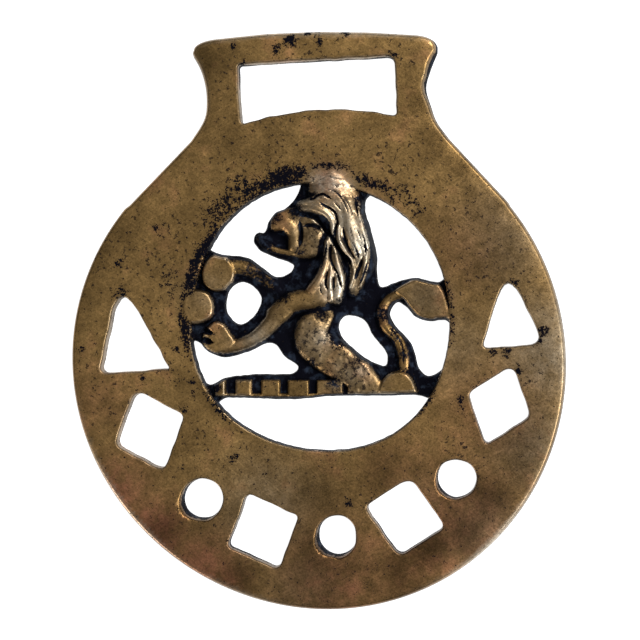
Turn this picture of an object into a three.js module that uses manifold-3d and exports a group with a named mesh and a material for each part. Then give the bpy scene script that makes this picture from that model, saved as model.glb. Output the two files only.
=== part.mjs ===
// A cast brass harness medallion: a pierced disc with a strap hanger and a lion in its round opening.
// It lies face up. Millimetres, the flat back on Z = 0, the hanger towards +Y.

import * as THREE from 'three';
import { mergeVertices } from 'three/addons/utils/BufferGeometryUtils.js';
import Module from 'manifold-3d';

const wasm = await Module();
wasm.setup();

// Driving sizes of the plate, in millimetres.
const height = 89;
const discDiameter = 76.2;
const thickness = 3;
const wallStep = 0.9; // height of the straight wall above the back
const edgeDraft = 0.55; // how far each worn edge leans in towards the face
const discRadius = discDiameter / 2;
const topReach = height - discRadius; // from the disc's centre up to the hanger's top edge

// The rim and the opening were filed by hand, so each has low waves.
// A wave gives how many, how high and where the first crest is.
const rimWaves = [[2, 0.29, -37], [3, 0.19, 57]];
const openingWaves = [[1, 0.08, 47], [2, 0.36, -76], [3, 0.2, -31], [4, 0.24, 35]];
const openingDiameter = 40.7;
const openingAside = 0.26;
const openingAbove = 6.7; // the opening's centre above the disc's

// The hanger's two sides. Each bend is measured out from the neck and down from the top edge.
const sides = {
  right: {
    side: 1, shoulderAngle: 40, neck: 16.6, cornerRun: 3.1, cornerDrop: 0.7,
    bends: [[3.5, 16.6], [1.6, 13.9], [0.8, 11.7], [0, 8.8], [0.7, 6.0], [1.8, 3.3]],
  },
  left: {
    side: -1, shoulderAngle: 39.5, neck: 17.4, cornerRun: 3.4, cornerDrop: 1.0,
    bends: [[2.3, 16.7], [0.5, 13.9], [0, 12.4], [0, 9.0], [0.8, 5.9], [2.1, 3.5]],
  },
};
const topCrown = 0.5; // how much the top edge rises at its middle
const cornerFullness = 0.35; // how far each top corner's curve stands out past the last bend

// The slot for the strap.
const slotWidth = 23.95;
const slotHeight = 8.95; // at its ends
const slotArch = 1.45; // how far the lower edge rises at its middle
const slotBar = 4.6; // metal above the slot at its middle
const slotTilt = 2.8; // degrees, up to the right
const slotAside = -0.3;
const slotCuts = [0.5, 0.5, 1.2, 0.5]; // how far its corners are cut back, from the lower left one

// The nine piercings: angle about the disc, inset from the rim, width, height, turn and lean.
// The cuts say how far each corner is cut back, anticlockwise from the lower left one.
// They are spaced round a disc of this radius, and shrink and grow with the real one to stay clear.
const spacedRadius = 38.1;
const piercingScale = discRadius / spacedRadius;
const piercings = [
  { kind: 'wedge', angle: 169.2, inset: 8.0, width: 10.9, height: 14.2,
    turn: 4, lean: -0.09, cuts: [1.6, 0.4, 5.6] },
  { kind: 'square', angle: -158, inset: 10, width: 8.6, height: 9,
    turn: -27, lean: -0.12, cuts: [1.5, 1.2, 0.9, 1.9] },
  { kind: 'round', angle: -130.2, inset: 10.5, width: 6.15 },
  { kind: 'square', angle: -108, inset: 10.75, width: 8.55, height: 8.7,
    turn: -24, lean: -0.07, cuts: [1, 1.3, 0.7, 1.3] },
  { kind: 'round', angle: -83.6, inset: 11.4, width: 5.95 },
  { kind: 'square', angle: -60.4, inset: 10.95, width: 8.25, height: 9.1,
    turn: 32.5, lean: -0.04, cuts: [1.4, 1.1, 1.9, 0.9] },
  { kind: 'round', angle: -39.7, inset: 10.35, width: 5.8 },
  { kind: 'square', angle: -13.1, inset: 9.55, width: 8.15, height: 8,
    turn: 32.4, lean: 0.24, cuts: [1, 1.2, 1.8, 1] },
  { kind: 'wedge', angle: 16, inset: 7.5, width: 9.3, height: 11.8,
    turn: 4, lean: -0.01, cuts: [0.9, 2.5, 4.8] },
];

// The figure is drawn for an opening of this radius, from its centre, and grows with the real one.
const drawnRadius = 20.4;
const figureScale = openingDiameter / 2 / drawnRadius;
const webThickness = 1.3;
const reliefTop = 4.4; // the mane's highest lock, a little proud of the plate
const gapDraft = 0.2; // how much each gap widens for a millimetre of height
const webOverlap = 0.6; // how far the web runs into the ring

// Outlines of the gaps round the figure, each a closed smooth curve.
// Where one passes the opening, it ends in the ring's wall.
const gaps = {
  underBase: [[15.6, -11.9], [17.6, -13.1], [14.2, -17.6], [7.2, -21.6], [0, -22.4], [-7.4, -21.4],
    [-13.4, -17.6], [-16.4, -14.2], [-15.2, -12.5], [-12.8, -12.3], [-4.2, -12.5], [1.4, -12.0],
    [9.6, -11.9]],
  aboveLeft: [[-3.2, 21.1], [-3.3, 19.8], [-4.1, 18.4], [-5.4, 17.1], [-7.0, 16.4], [-8.0, 15.1],
    [-8.7, 13.4], [-9.9, 13.3], [-10.4, 12.2], [-9.5, 10.7], [-6.8, 9.4], [-4.2, 8.3], [-4.6, 7.2],
    [-6.9, 6.5], [-9.2, 8.1], [-11.2, 9.4], [-16.1, 10.2], [-17.7, 11.3], [-17.3, 13.4], [-12.6, 17.8],
    [-8.2, 20.6], [-5.2, 21.6]],
  aboveRight: [[7.1, 18.3], [7.0, 16.6], [7.9, 13.6], [8.8, 9.6], [8.8, 7.2], [9.3, 4.9], [11.6, 5.6],
    [14.6, 6.3], [18.5, 5.7], [19.7, 7.4], [18.2, 11.2], [15.4, 14.8], [10.8, 18.7], [8.2, 19.3]],
  underArm: [[-19.7, -3.5], [-19.0, -3.6], [-17.8, -4.9], [-15.0, -6.0], [-11.2, -5.1], [-8.2, -3.8],
    [-7.0, -4.0], [-5.4, -6.0], [-3.5, -7.4], [-4.0, -8.3], [-10.0, -8.6], [-14.9, -9.2],
    [-17.2, -10.2], [-19.2, -8.7], [-20.2, -5.8]],
  besideTail: [[11.9, 2.5], [13.2, 1.9], [14.6, 0.4], [16.8, -0.4], [19.4, -0.3], [20.9, -2.2], [20.2, -5.6],
    [18.4, -8.1], [16.6, -8.8], [15.4, -7.8], [14.1, -3.9], [11.5, -0.9], [10.8, 0.8]],
  betweenBodyAndTail: [[3.7, 0.3], [5.2, 0.4], [6.9, -0.3], [8.1, -2.5], [10.3, -5.4], [10.1, -7.2],
    [8.6, -6.9], [6.2, -5.5], [3.2, -2.5], [2.9, -0.8]],
  insideArms: [[-12.2, 5.7], [-10.2, 4.8], [-9.2, 3.2], [-9.9, 1.0], [-12.4, -0.9], [-14.4, 0.8],
    [-14.6, 2.8], [-14.0, 4.6]],
};

// Ridges of the figure: each stop gives x, y, half the width and the height of the crest.
const bodyRidges = {
  fringeBed: [[3.2, 17.4, 2.0, 3.8], [0.6, 17.6, 1.7, 3.8], [-1.6, 17.6, 1.2, 3.5], [-2.9, 17.5, 0.8, 3.1]],
  maneCrown: [[1.9, 22.6, 3.4, 3.1], [2.0, 19.6, 3.8, 3.6], [3.4, 16.0, 2.9, 3.9], [3.9, 13.6, 2.2, 3.8]],
  maneBack: [[4.2, 19.6, 2.0, 3.2], [5.0, 15.4, 2.3, 3.9], [5.9, 11.6, 2.3, 4.1], [5.9, 8.4, 2.5, 3.6],
    [5.0, 5.6, 2.3, 3.1]],
  throat: [[1.6, 12.4, 0.8, 3.3], [1.9, 9.6, 1.5, 3.8], [1.6, 6.2, 2.2, 3.8], [0.2, 3.6, 2.2, 3.6]],
  shoulder: [[2.2, 4.2, 1.9, 3.4], [-0.8, 3.2, 1.8, 3.6], [-4.4, 2.4, 1.8, 3.5], [-6.6, 0.6, 1.8, 3.3]],
  nearForeleg: [[-5.4, 1.4, 1.8, 3.3], [-7.6, -0.9, 1.5, 3.2], [-9.9, -2.9, 1.2, 3.0],
    [-12.6, -4.1, 1.1, 2.8], [-15.0, -4.6, 1.0, 2.7]],
  farForeleg: [[-6.4, 3.9, 1.2, 1.9], [-8.4, 6.2, 1.4, 2.2], [-11.0, 7.7, 1.3, 2.5], [-14.0, 8.1, 1.4, 2.7]],
  belly: [[1.0, 1.2, 2.2, 2.6], [-0.7, -1.2, 2.9, 3.1], [-0.6, -3.4, 2.9, 3.2], [1.6, -5.4, 2.4, 3.1],
    [4.6, -7.3, 2.0, 3.1], [7.0, -8.9, 1.6, 2.9], [9.2, -10.2, 1.2, 2.7]],
  tailStem: [[12.9, -8.6, 1.5, 2.1], [13.0, -5.8, 1.4, 2.4], [12.0, -3.2, 1.4, 2.4], [10.0, -1.2, 1.3, 2.4],
    [9.5, 1.2, 1.3, 2.4], [10.8, 3.3, 1.0, 2.4], [12.8, 3.9, 1.0, 2.5]],
};

// Locks of the mane and the features of the face, finer ridges that lie on those.
const fineRidges = {
  forelock: [[3.6, 18.6, 1.0, 4.0], [1.2, 18.7, 0.9, 4.0], [-0.8, 18.0, 0.8, 3.9], [-2.8, 17.7, 0.6, 3.4]],
  fringe: [[-2.7, 17.0, 0.6, 3.4], [-0.4, 16.9, 0.8, 3.9], [1.4, 16.0, 0.8, 4.1], [2.3, 14.4, 0.7, 4.1],
    [2.3, 12.6, 0.5, 3.8]],
  crownLock: [[3.4, 21.4, 1.1, 3.5], [4.4, 17.4, 1.1, 4.2], [4.9, 13.8, 1.3, reliefTop],
    [5.9, 10.2, 0.9, 4.3]],
  middleLock: [[3.1, 14.2, 0.5, 4.0], [3.2, 12.2, 0.6, 4.2], [4.2, 10.2, 0.6, 4.2], [5.3, 8.4, 0.5, 3.9]],
  backLock: [[5.2, 20.6, 0.9, 3.3], [6.1, 15.4, 0.9, 4.0], [7.2, 11.0, 0.9, 4.1], [7.1, 7.8, 0.7, 3.8],
    [6.3, 5.0, 0.6, 3.2]],
  throatLock: [[1.3, 11.8, 0.6, 3.7], [1.2, 9.0, 0.8, 4.1], [0.3, 6.4, 1.0, 4.1], [-1.2, 4.2, 1.1, 3.8]],
  breastLock: [[2.4, 11.0, 0.5, 3.9], [2.9, 8.6, 0.8, 4.2], [3.4, 6.2, 0.8, 4.1], [2.9, 3.2, 0.8, 3.7]],
  shortLock: [[1.9, 7.6, 0.4, 4.0], [1.8, 5.4, 0.6, 4.1], [1.9, 2.9, 0.7, 3.8]],
  innerLock: [[5.0, 9.2, 0.5, 4.0], [5.5, 7.2, 0.6, 3.8], [4.8, 4.8, 0.5, 3.3]],
  upperLip: [[-6.7, 14.3, 0.7, 2.9], [-5.0, 14.1, 1.0, 3.2], [-3.9, 13.0, 0.9, 3.2], [-4.0, 11.0, 0.7, 2.9]],
  lowerJaw: [[-9.3, 12.4, 0.7, 2.1], [-8.3, 11.4, 0.9, 2.2], [-6.7, 10.6, 0.7, 2.2], [-4.4, 10.1, 0.6, 2.4],
    [-2.6, 9.9, 0.5, 2.4]],
  brow: [[-2.3, 15.0, 0.6, 2.9], [-0.6, 14.9, 0.6, 3.0]],
  cheek: [[-1.9, 12.7, 1.2, 3.1], [-1.0, 12.6, 1.3, 3.2]],
};

// Flat-topped forms: a closed smooth outline, the level of the top, and how deep and wide its worn edge is.
const bosses = {
  face: {
    top: 2.4, edge: 1.0, worn: 0.7,
    outline: [[-7.7, 14.8], [-6.7, 16.4], [-4.4, 17.2], [-0.6, 17.0], [1.6, 14.0], [1.2, 10.4],
      [-1.6, 9.2], [-4.3, 9.8], [-4.4, 12.6], [-5.6, 13.4], [-7.4, 13.5]],
  },
  upperBall: {
    top: 2.9, edge: 1.0, worn: 0.35,
    outline: [[-16.4, 9.9], [-14.7, 9.7], [-13.2, 8.0], [-13.1, 6.4], [-14.2, 4.7], [-16.2, 4.2],
      [-17.8, 5.2], [-18.2, 7.2], [-17.5, 9.0]],
  },
  lowerBall: {
    top: 2.9, edge: 1.0, worn: 0.5,
    outline: [[-20.9, 2.2], [-20.3, 4.1], [-18.9, 4.6], [-16.8, 4.0], [-15.9, 2.4], [-16.1, 0.5],
      [-17.6, -0.6], [-20.0, -0.6], [-20.8, 0.7]],
  },
  paw: {
    top: 2.9, edge: 1.0, worn: 0.35,
    outline: [[-17.2, -1.2], [-16.2, -0.4], [-15.0, -0.7], [-13.8, -2.1], [-13.0, -3.6], [-14.0, -4.8],
      [-16.0, -5.4], [-17.6, -4.9], [-18.2, -3.6], [-18.0, -2.2]],
  },
  tailTuft: {
    top: 2.8, edge: 1.0, worn: 0.4,
    outline: [[11.6, 4.2], [13.4, 5.5], [15.4, 6.3], [17.4, 6.1], [18.8, 4.9], [19.8, 2.4],
      [20.1, -0.1], [18.0, -0.4], [15.9, -0.1], [14.2, 1.4], [13.0, 3.0]],
  },
  heel: {
    top: 2.8, edge: 1.0, worn: 0.4,
    outline: [[9.1, -11.9], [9.6, -9.6], [10.6, -8.5], [12.3, -8.0], [13.8, -8.6], [14.8, -10.2],
      [15.0, -11.9]],
  },
};

// The bar under the lion: a low rail that carries raised blocks, from where to where along it.
const barTop = -9.4;
const barBottom = -12.1;
const barRail = 1.7;
const barFace = 2.6;
const barBlocks = [[-16.2, -14.7], [-12.9, -10.6], [-8.9, -6.2], [-4.8, -1.7], [-0.3, 3.5], [4.5, 8.9]];
const blockWorn = 0.3;
const webWorn = 0.05; // the web's own edge, hidden in the ring

// Slits that part the claws of the raised paw.
const clawSlits = [[[-18.6, -1.6], [-16.2, -2.4]], [[-18.7, -2.9], [-16.2, -3.8]]];
const slitWidth = 0.5;
const slitFloor = 1.7;

// How finely curved outlines are drawn.
const rimSteps = 84;
const openingSteps = 64;
const roundSteps = 20;
const archSteps = 9;
const bodySides = 12; // sides of a body ridge
const fineSides = 8; // sides of a lock
const capSteps = 2; // of a ridge's round end
const cornerSteps = 3;
const pointSteps = 2; // from one given point of a smooth curve to the next
const plateBevelSteps = 3; // across the ring's worn edge
const reliefBevelSteps = 2; // across a boss's worn edge
const chamferSteps = 1; // straight across
const mergeWithin = 1e-5; // corners closer than this are one
const below = 1; // how far cutters and relief reach under the back before it is cut flat
const wellPast = 3 * reliefTop; // a height beyond every part of the relief

const rad = THREE.MathUtils.degToRad;
const at = (x, y) => new THREE.Vector2(x, y);

// A closed mesh with merged corners and no collapsed triangles, as a solid.
function solid(geometry) {
  geometry.deleteAttribute('normal');
  geometry.deleteAttribute('uv');
  const merged = mergeVertices(geometry, mergeWithin);
  const kept = [];
  for (let i = 0; i < merged.index.count; i += 3) {
    const [a, b, c] = [0, 1, 2].map((k) => merged.index.getX(i + k));
    if (a !== b && b !== c && c !== a) kept.push(a, b, c);
  }
  return new wasm.Manifold(new wasm.Mesh({
    numProp: 3,
    vertProperties: Float32Array.from(merged.attributes.position.array),
    triVerts: Uint32Array.from(kept),
  }));
}

// A circle with low waves, as points from one angle to another, in degrees.
function wavyArc(centre, radius, waves, from, to, steps) {
  return Array.from({ length: steps }, (_, i) => {
    const angle = rad(from + (to - from) * i / steps);
    const rise = ([count, size, crest]) => size * Math.cos(count * (angle - rad(crest)));
    const reach = waves.reduce((sum, wave) => sum + rise(wave), radius);
    return at(centre.x + reach * Math.cos(angle), centre.y + reach * Math.sin(angle));
  });
}

// A closed smooth curve through the figure's points, moved to the opening.
const openingCentre = at(openingAside, openingAbove);
const place = ([x, y]) => at(openingCentre.x + x * figureScale, openingCentre.y + y * figureScale);
function closedCurve(points) {
  const spots = points.map(place).map((p) => new THREE.Vector3(p.x, p.y, 0));
  const curve = new THREE.CatmullRomCurve3(spots, true, 'centripetal');
  return curve.getPoints(points.length * pointSteps).slice(0, -1).map((p) => at(p.x, p.y));
}

// One side of the hanger: straight off the disc, in to the neck and out to the top corner.
function hangerSide({ side, shoulderAngle, neck, bends }) {
  const shoulder = rad(shoulderAngle);
  const start = at(side * discRadius * Math.cos(shoulder), discRadius * Math.sin(shoulder));
  const route = bends.map(([out, down]) => at(side * (neck + out), topReach - down));
  return [start, ...new THREE.SplineCurve(route).getPoints(bends.length * pointSteps)];
}

// The top corner and its half of the top edge, up to the middle.
function hangerTop({ side, neck, bends, cornerRun, cornerDrop }) {
  const [out, down] = bends.at(-1);
  const corner = at(side * (neck + out), topReach - down);
  const edge = at(corner.x - side * cornerRun, topReach - cornerDrop);
  const outer = at(corner.x + side * cornerFullness, topReach - cornerDrop - topCrown);
  const bend = new THREE.QuadraticBezierCurve(corner, outer, edge).getPoints(cornerSteps + 1);
  const halfway = at(edge.x / 2, topReach - cornerDrop / 4); // on the edge's parabola
  return [...bend.slice(1), halfway];
}

// The plate's outline about the disc's centre: right side, top, left side, then round the disc.
function plateOutline() {
  const right = [...hangerSide(sides.right), ...hangerTop(sides.right)];
  const left = [...hangerSide(sides.left), ...hangerTop(sides.left)].reverse();
  const from = 180 - sides.left.shoulderAngle;
  const to = 360 + sides.right.shoulderAngle;
  const disc = wavyArc(at(0, 0), discRadius, rimWaves, from, to, rimSteps).slice(1);
  return [...right, at(0, topReach), ...left, ...disc];
}

// A polygon's corners, given anticlockwise, each cut back along both its sides and bridged by a curve.
function rounded(corners, cuts) {
  return corners.map((corner, i) => {
    const towards = (other) => other.clone().sub(corner).setLength(cuts[i]).add(corner);
    const [from, to] = [towards(corners.at(i - 1)), towards(corners[(i + 1) % corners.length])];
    return new THREE.QuadraticBezierCurve(from, corner, to).getPoints(cornerSteps);
  });
}

// One piercing of the disc: a square, a wedge or a round hole in its place.
function piercing({ kind, angle, inset, width, height: tall, turn = 0, lean = 0, cuts }) {
  const reach = discRadius - inset * piercingScale;
  const centre = at(reach * Math.cos(rad(angle)), reach * Math.sin(rad(angle)));
  if (kind === 'round') return wavyArc(centre, width / 2 * piercingScale, [], 0, 360, roundSteps);
  const [x, y] = [width / 2 * piercingScale, tall / 2 * piercingScale];
  const drawn = kind === 'wedge' ? [[-x, -y], [x, -y], [0, y]] : [[-x, -y], [x, -y], [x, y], [-x, y]];
  const inPlace = ([px, py]) => at(px + py * lean, py).rotateAround(at(0, 0), rad(turn)).add(centre);
  return rounded(drawn.map(inPlace), cuts.map((cut) => cut * piercingScale)).flat();
}

// A flat shape raised from under the back to its top. Its worn edge leans in by the quarter of an ellipse.
function raised(points, holes, top, edge, worn, segments) {
  const shape = new THREE.Shape(points);
  shape.holes = holes.map((hole) => new THREE.Path(hole));
  const depth = top - edge + below;
  const lean = { bevelThickness: edge, bevelSize: worn, bevelOffset: -worn, bevelSegments: segments };
  return solid(new THREE.ExtrudeGeometry(shape, { ...lean, depth, steps: 1 }).translate(0, 0, -below));
}

// A cutter for a gap: its walls lean out from the back to above the relief.
function gapCutter(points) {
  const tall = reliefTop + 2 * below;
  const shape = new THREE.Shape(points);
  const lean = { bevelThickness: tall, bevelSize: tall * gapDraft, bevelOffset: -below * gapDraft };
  const settings = { ...lean, bevelSegments: chamferSteps, depth: below, steps: 1 };
  const geometry = new THREE.ExtrudeGeometry(shape, settings);
  return solid(geometry.translate(0, 0, tall - below));
}

// A rounded ridge along a smooth line, from a capsule bent along its stops.
function ridge(stops, sideCount) {
  const route = new THREE.CatmullRomCurve3(stops.map(([x, y]) => {
    const p = place([x, y]);
    return new THREE.Vector3(p.x, p.y, 0);
  }), false, 'centripetal');
  const sizes = new THREE.CatmullRomCurve3(
    stops.map(([, , half, crest]) => new THREE.Vector3(half * figureScale, crest, 0)), false, 'centripetal');
  const body = new THREE.CapsuleGeometry(1, 1, capSteps, sideCount, stops.length * pointSteps);
  const spots = body.attributes.position;
  for (let i = 0; i < spots.count; i += 1) {
    const [across, along, up] = [spots.getX(i), spots.getY(i), spots.getZ(i)];
    const t = THREE.MathUtils.clamp(along + 0.5, 0, 1);
    const past = along + 0.5 - t;
    const middle = route.getPoint(t);
    const ahead = route.getTangent(t);
    const { x: half, y: crest } = sizes.getPoint(t);
    const foot = crest / 2;
    const level = up > 0 ? foot + up * (crest - foot) : foot + up * (foot + below);
    spots.setXYZ(i, middle.x + (past * ahead.x + across * ahead.y) * half,
      middle.y + (past * ahead.y - across * ahead.x) * half, level);
  }
  return solid(body);
}

// A box from corner to corner.
function block(from, to) {
  const size = to.clone().sub(from);
  return solid(new THREE.BoxGeometry(size.x, size.y, size.z).translate(
    from.x + size.x / 2, from.y + size.y / 2, from.z + size.z / 2));
}

// The lion, its bar and the web behind them, pierced by the gaps.
function figure() {
  const reach = openingDiameter / 2 + webOverlap;
  const opening = wavyArc(openingCentre, reach, openingWaves, 0, 360, openingSteps);
  let body = raised(opening, [], webThickness, webThickness / 2, webWorn, chamferSteps);
  for (const stops of Object.values(bodyRidges)) body = body.add(ridge(stops, bodySides));
  for (const stops of Object.values(fineRidges)) body = body.add(ridge(stops, fineSides));
  for (const { outline, top, edge, worn } of Object.values(bosses)) {
    body = body.add(raised(closedCurve(outline), [], top, edge, worn, reliefBevelSteps));
  }
  const ends = [barBlocks[0][0], barBlocks.at(-1)[1]];
  const strip = (from, to) => [[from, barBottom], [to, barBottom], [to, barTop], [from, barTop]].map(place);
  body = body.add(raised(strip(...ends), [], barRail, blockWorn, blockWorn, chamferSteps));
  for (const [from, to] of barBlocks) {
    body = body.add(raised(strip(from, to), [], barFace, blockWorn, blockWorn, reliefBevelSteps));
  }
  for (const [from, to] of clawSlits) {
    const [a, b] = [place(from), place(to)];
    const aside = b.clone().sub(a).rotateAround(at(0, 0), Math.PI / 2).setLength(slitWidth / 2);
    const line = [a.clone().sub(aside), b.clone().sub(aside), b.clone().add(aside), a.clone().add(aside)];
    const slit = new THREE.ExtrudeGeometry(new THREE.Shape(line), { depth: reliefTop, bevelEnabled: false });
    body = body.subtract(solid(slit.translate(0, 0, slitFloor)));
  }
  for (const points of Object.values(gaps)) body = body.subtract(gapCutter(closedCurve(points)));
  const seat = new THREE.ExtrudeGeometry(new THREE.Shape(opening), { depth: wellPast, bevelEnabled: false });
  return body.intersect(solid(seat.translate(0, 0, -reliefTop)));
}

// The strap slot: straight walls, a slight tilt and an arched lower edge.
function slotOutline() {
  const upper = topReach - slotBar;
  const [x, lower] = [slotWidth / 2, upper - slotHeight];
  const corners = rounded([at(-x, lower), at(x, lower), at(x, upper), at(-x, upper)], slotCuts);
  const [left, right] = [corners[0].pop(), corners[1].shift()];
  const arch = new THREE.QuadraticBezierCurve(left, at(0, lower + 2 * slotArch), right).getPoints(archSteps);
  const points = [...corners[0], ...arch, ...corners.slice(1).flat()];
  return points.map((p) => p.rotateAround(at(0, upper), rad(slotTilt)).add(at(slotAside, 0)));
}

const outline = plateOutline();
const openingLine = wavyArc(openingCentre, openingDiameter / 2, openingWaves, 0, 360, openingSteps);
const holes = [openingLine, ...piercings.map(piercing)];
const plate = raised(outline, holes, thickness, thickness - wallStep, edgeDraft, plateBevelSteps);
const straight = { depth: wellPast, bevelEnabled: false };
const slot = new THREE.ExtrudeGeometry(new THREE.Shape(slotOutline()), straight);

const box = new THREE.Box2().setFromPoints(outline);
const centre = box.getCenter(at(0, 0));
const widest = new THREE.Vector3(height, height, 0);
const underside = block(widest.clone().negate().setZ(-wellPast), widest);

const cast = plate.subtract(solid(slot.translate(0, 0, -thickness))).add(figure()).subtract(underside);
const { vertProperties, triVerts } = cast.getMesh();
const geometry = new THREE.BufferGeometry();
geometry.setAttribute('position', new THREE.BufferAttribute(vertProperties, 3));
geometry.setIndex(new THREE.BufferAttribute(triVerts, 1));
geometry.translate(-centre.x, -centre.y, 0);
geometry.computeVertexNormals();

const brass = new THREE.MeshStandardMaterial({ color: 0x826941, roughness: 0.42, metalness: 1 });
const medallion = new THREE.Mesh(geometry, brass);
medallion.name = 'horse_brass';

const group = new THREE.Group();
group.add(medallion);

export default group;
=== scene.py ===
"""A worn cast brass harness medallion with a rampant lion, lying face up on a pale floor.

Laid out as an add-on: property groups hold the sizes and finishes, one operator casts the medallion,
one sets the stage. Shapes are worked out in millimetres and put into the mesh in metres.
"""

import math

import bpy
import numpy as np
from bpy.props import FloatProperty, FloatVectorProperty, IntProperty, PointerProperty
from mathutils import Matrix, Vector
from mathutils.geometry import delaunay_2d_cdt


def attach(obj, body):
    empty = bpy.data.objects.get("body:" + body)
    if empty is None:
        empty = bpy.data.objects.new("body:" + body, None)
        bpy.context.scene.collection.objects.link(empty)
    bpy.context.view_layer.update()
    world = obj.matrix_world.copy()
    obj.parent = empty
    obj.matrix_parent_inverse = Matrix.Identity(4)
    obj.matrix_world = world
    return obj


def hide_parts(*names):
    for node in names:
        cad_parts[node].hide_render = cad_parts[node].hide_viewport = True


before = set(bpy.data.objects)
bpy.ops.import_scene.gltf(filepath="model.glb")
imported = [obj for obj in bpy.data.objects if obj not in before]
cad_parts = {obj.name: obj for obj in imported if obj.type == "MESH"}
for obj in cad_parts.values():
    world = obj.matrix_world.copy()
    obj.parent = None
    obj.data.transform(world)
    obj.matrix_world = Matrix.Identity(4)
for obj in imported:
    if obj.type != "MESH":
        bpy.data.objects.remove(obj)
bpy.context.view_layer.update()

bl_info = {
    "name": "Horse Brass",
    "version": (1, 0, 0),
    "blender": (4, 5, 0),
    "location": "View3D > Sidebar > Horse Brass",
    "description": "A cast and worn brass harness medallion with a lion",
    "category": "Add Mesh",
}

MM = 0.001

# The rim and the opening were filed by hand: how many waves, how high, where the first crest is.
RIM_WAVES = ((2, 0.29, -37), (3, 0.19, 57))
OPENING_WAVES = ((1, 0.08, 47), (2, 0.36, -76), (3, 0.2, -31), (4, 0.24, 35))
OPENING_CENTRE = (0.26, 6.7)  # from the disc's centre

# The hanger's sides: each bend is measured out from the neck and down from the top edge.
HANGER_SIDES = {
    "right": dict(side=1, shoulder=40, neck=16.6, run=3.1, drop=0.7,
                  bends=((3.5, 16.6), (1.6, 13.9), (0.8, 11.7), (0, 8.8), (0.7, 6.0), (1.8, 3.3))),
    "left": dict(side=-1, shoulder=39.5, neck=17.4, run=3.4, drop=1.0,
                 bends=((2.3, 16.7), (0.5, 13.9), (0, 12.4), (0, 9.0), (0.8, 5.9), (2.1, 3.5))),
}
TOP_CROWN = 0.5
CORNER_FULLNESS = 0.35
SLOT = dict(width=23.95, height=8.95, arch=1.45, bar=4.6, tilt=2.8, aside=-0.3, cuts=(0.5, 0.5, 1.2, 0.5))

# The nine piercings: kind, angle about the disc, inset from the rim, width, height, turn, lean and
# how far each corner is cut back, anticlockwise from the lower left one.
PIERCINGS = (
    ("wedge", 169.2, 8.0, 10.9, 14.2, 4, -0.09, (1.6, 0.4, 5.6)),
    ("square", -158, 10, 8.6, 9, -27, -0.12, (1.5, 1.2, 0.9, 1.9)),
    ("round", -130.2, 10.5, 6.15, 6.15, 0, 0, ()),
    ("square", -108, 10.75, 8.55, 8.7, -24, -0.07, (1, 1.3, 0.7, 1.3)),
    ("round", -83.6, 11.4, 5.95, 5.95, 0, 0, ()),
    ("square", -60.4, 10.95, 8.25, 9.1, 32.5, -0.04, (1.4, 1.1, 1.9, 0.9)),
    ("round", -39.7, 10.35, 5.8, 5.8, 0, 0, ()),
    ("square", -13.1, 9.55, 8.15, 8, 32.4, 0.24, (1, 1.2, 1.8, 1)),
    ("wedge", 16, 7.5, 9.3, 11.8, 4, -0.01, (0.9, 2.5, 4.8)),
)

# Where a round hole's or the hanger's wall leans more: x, y from the disc's centre, radius, how far.
LIPS = (
    (-20.3, -22.6, 2.3, 0.6), (-17.4, -24.4, 1.6, 0.3), (0.6, -28.2, 2.3, 0.65), (3.4, -29.8, 1.5, 0.35),
    (19.0, -19.4, 2.0, 0.35), (19.8, 48.2, 1.6, 0.45), (18.2, 45.5, 1.8, 0.5), (17.3, 42.6, 1.6, 0.3),
)

# The figure is drawn for an opening of this radius, from its centre, in millimetres.
DRAWN_RADIUS = 20.4

# Outlines of the gaps round the figure, each a closed smooth curve.
# Where one passes the opening, it ends in the ring's wall.
GAPS = {
    "under base": (
        (15.6, -11.9), (17.6, -13.1), (14.2, -17.6), (7.2, -21.6), (0, -22.4), (-7.4, -21.4),
        (-13.4, -17.6), (-16.4, -14.2), (-15.2, -12.5), (-12.8, -12.3), (-4.2, -12.5), (1.4, -12.0),
        (9.6, -11.9),
    ),
    "above left": (
        (-3.2, 21.1), (-3.3, 19.8), (-4.1, 18.4), (-5.4, 17.1), (-7.0, 16.4), (-8.0, 15.1), (-8.7, 13.4),
        (-9.9, 13.3), (-10.4, 12.2), (-9.5, 10.7), (-6.8, 9.4), (-4.2, 8.3), (-4.6, 7.2), (-6.9, 6.5),
        (-9.2, 8.1), (-11.2, 9.4), (-16.1, 10.2), (-17.7, 11.3), (-17.3, 13.4), (-12.6, 17.8),
        (-8.2, 20.6), (-5.2, 21.6),
    ),
    "above right": (
        (7.1, 18.3), (7.0, 16.6), (7.9, 13.6), (8.8, 9.6), (8.8, 7.2), (9.3, 4.9), (11.6, 5.6),
        (14.6, 6.3), (18.5, 5.7), (19.7, 7.4), (18.2, 11.2), (15.4, 14.8), (10.8, 18.7), (8.2, 19.3),
    ),
    "under arm": (
        (-19.7, -3.5), (-19.0, -3.6), (-17.8, -4.9), (-15.0, -6.0), (-11.2, -5.1), (-8.2, -3.8),
        (-7.0, -4.0), (-5.4, -6.0), (-3.5, -7.4), (-4.0, -8.3), (-10.0, -8.6), (-14.9, -9.2),
        (-17.2, -10.2), (-19.2, -8.7), (-20.2, -5.8),
    ),
    "beside tail": (
        (11.9, 2.5), (13.2, 1.9), (14.6, 0.4), (16.8, -0.4), (19.4, -0.3), (20.9, -2.2), (20.2, -5.6),
        (18.4, -8.1), (16.6, -8.8), (15.4, -7.8), (14.1, -3.9), (11.5, -0.9), (10.8, 0.8),
    ),
    "between body and tail": (
        (3.7, 0.3), (5.2, 0.4), (6.9, -0.3), (8.1, -2.5), (10.3, -5.4), (10.1, -7.2), (8.6, -6.9),
        (6.2, -5.5), (3.2, -2.5), (2.9, -0.8),
    ),
    "inside arms": (
        (-12.2, 5.7), (-10.2, 4.8), (-9.2, 3.2), (-9.9, 1.0), (-12.4, -0.9), (-14.4, 0.8), (-14.6, 2.8),
        (-14.0, 4.6),
    ),
}

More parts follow.
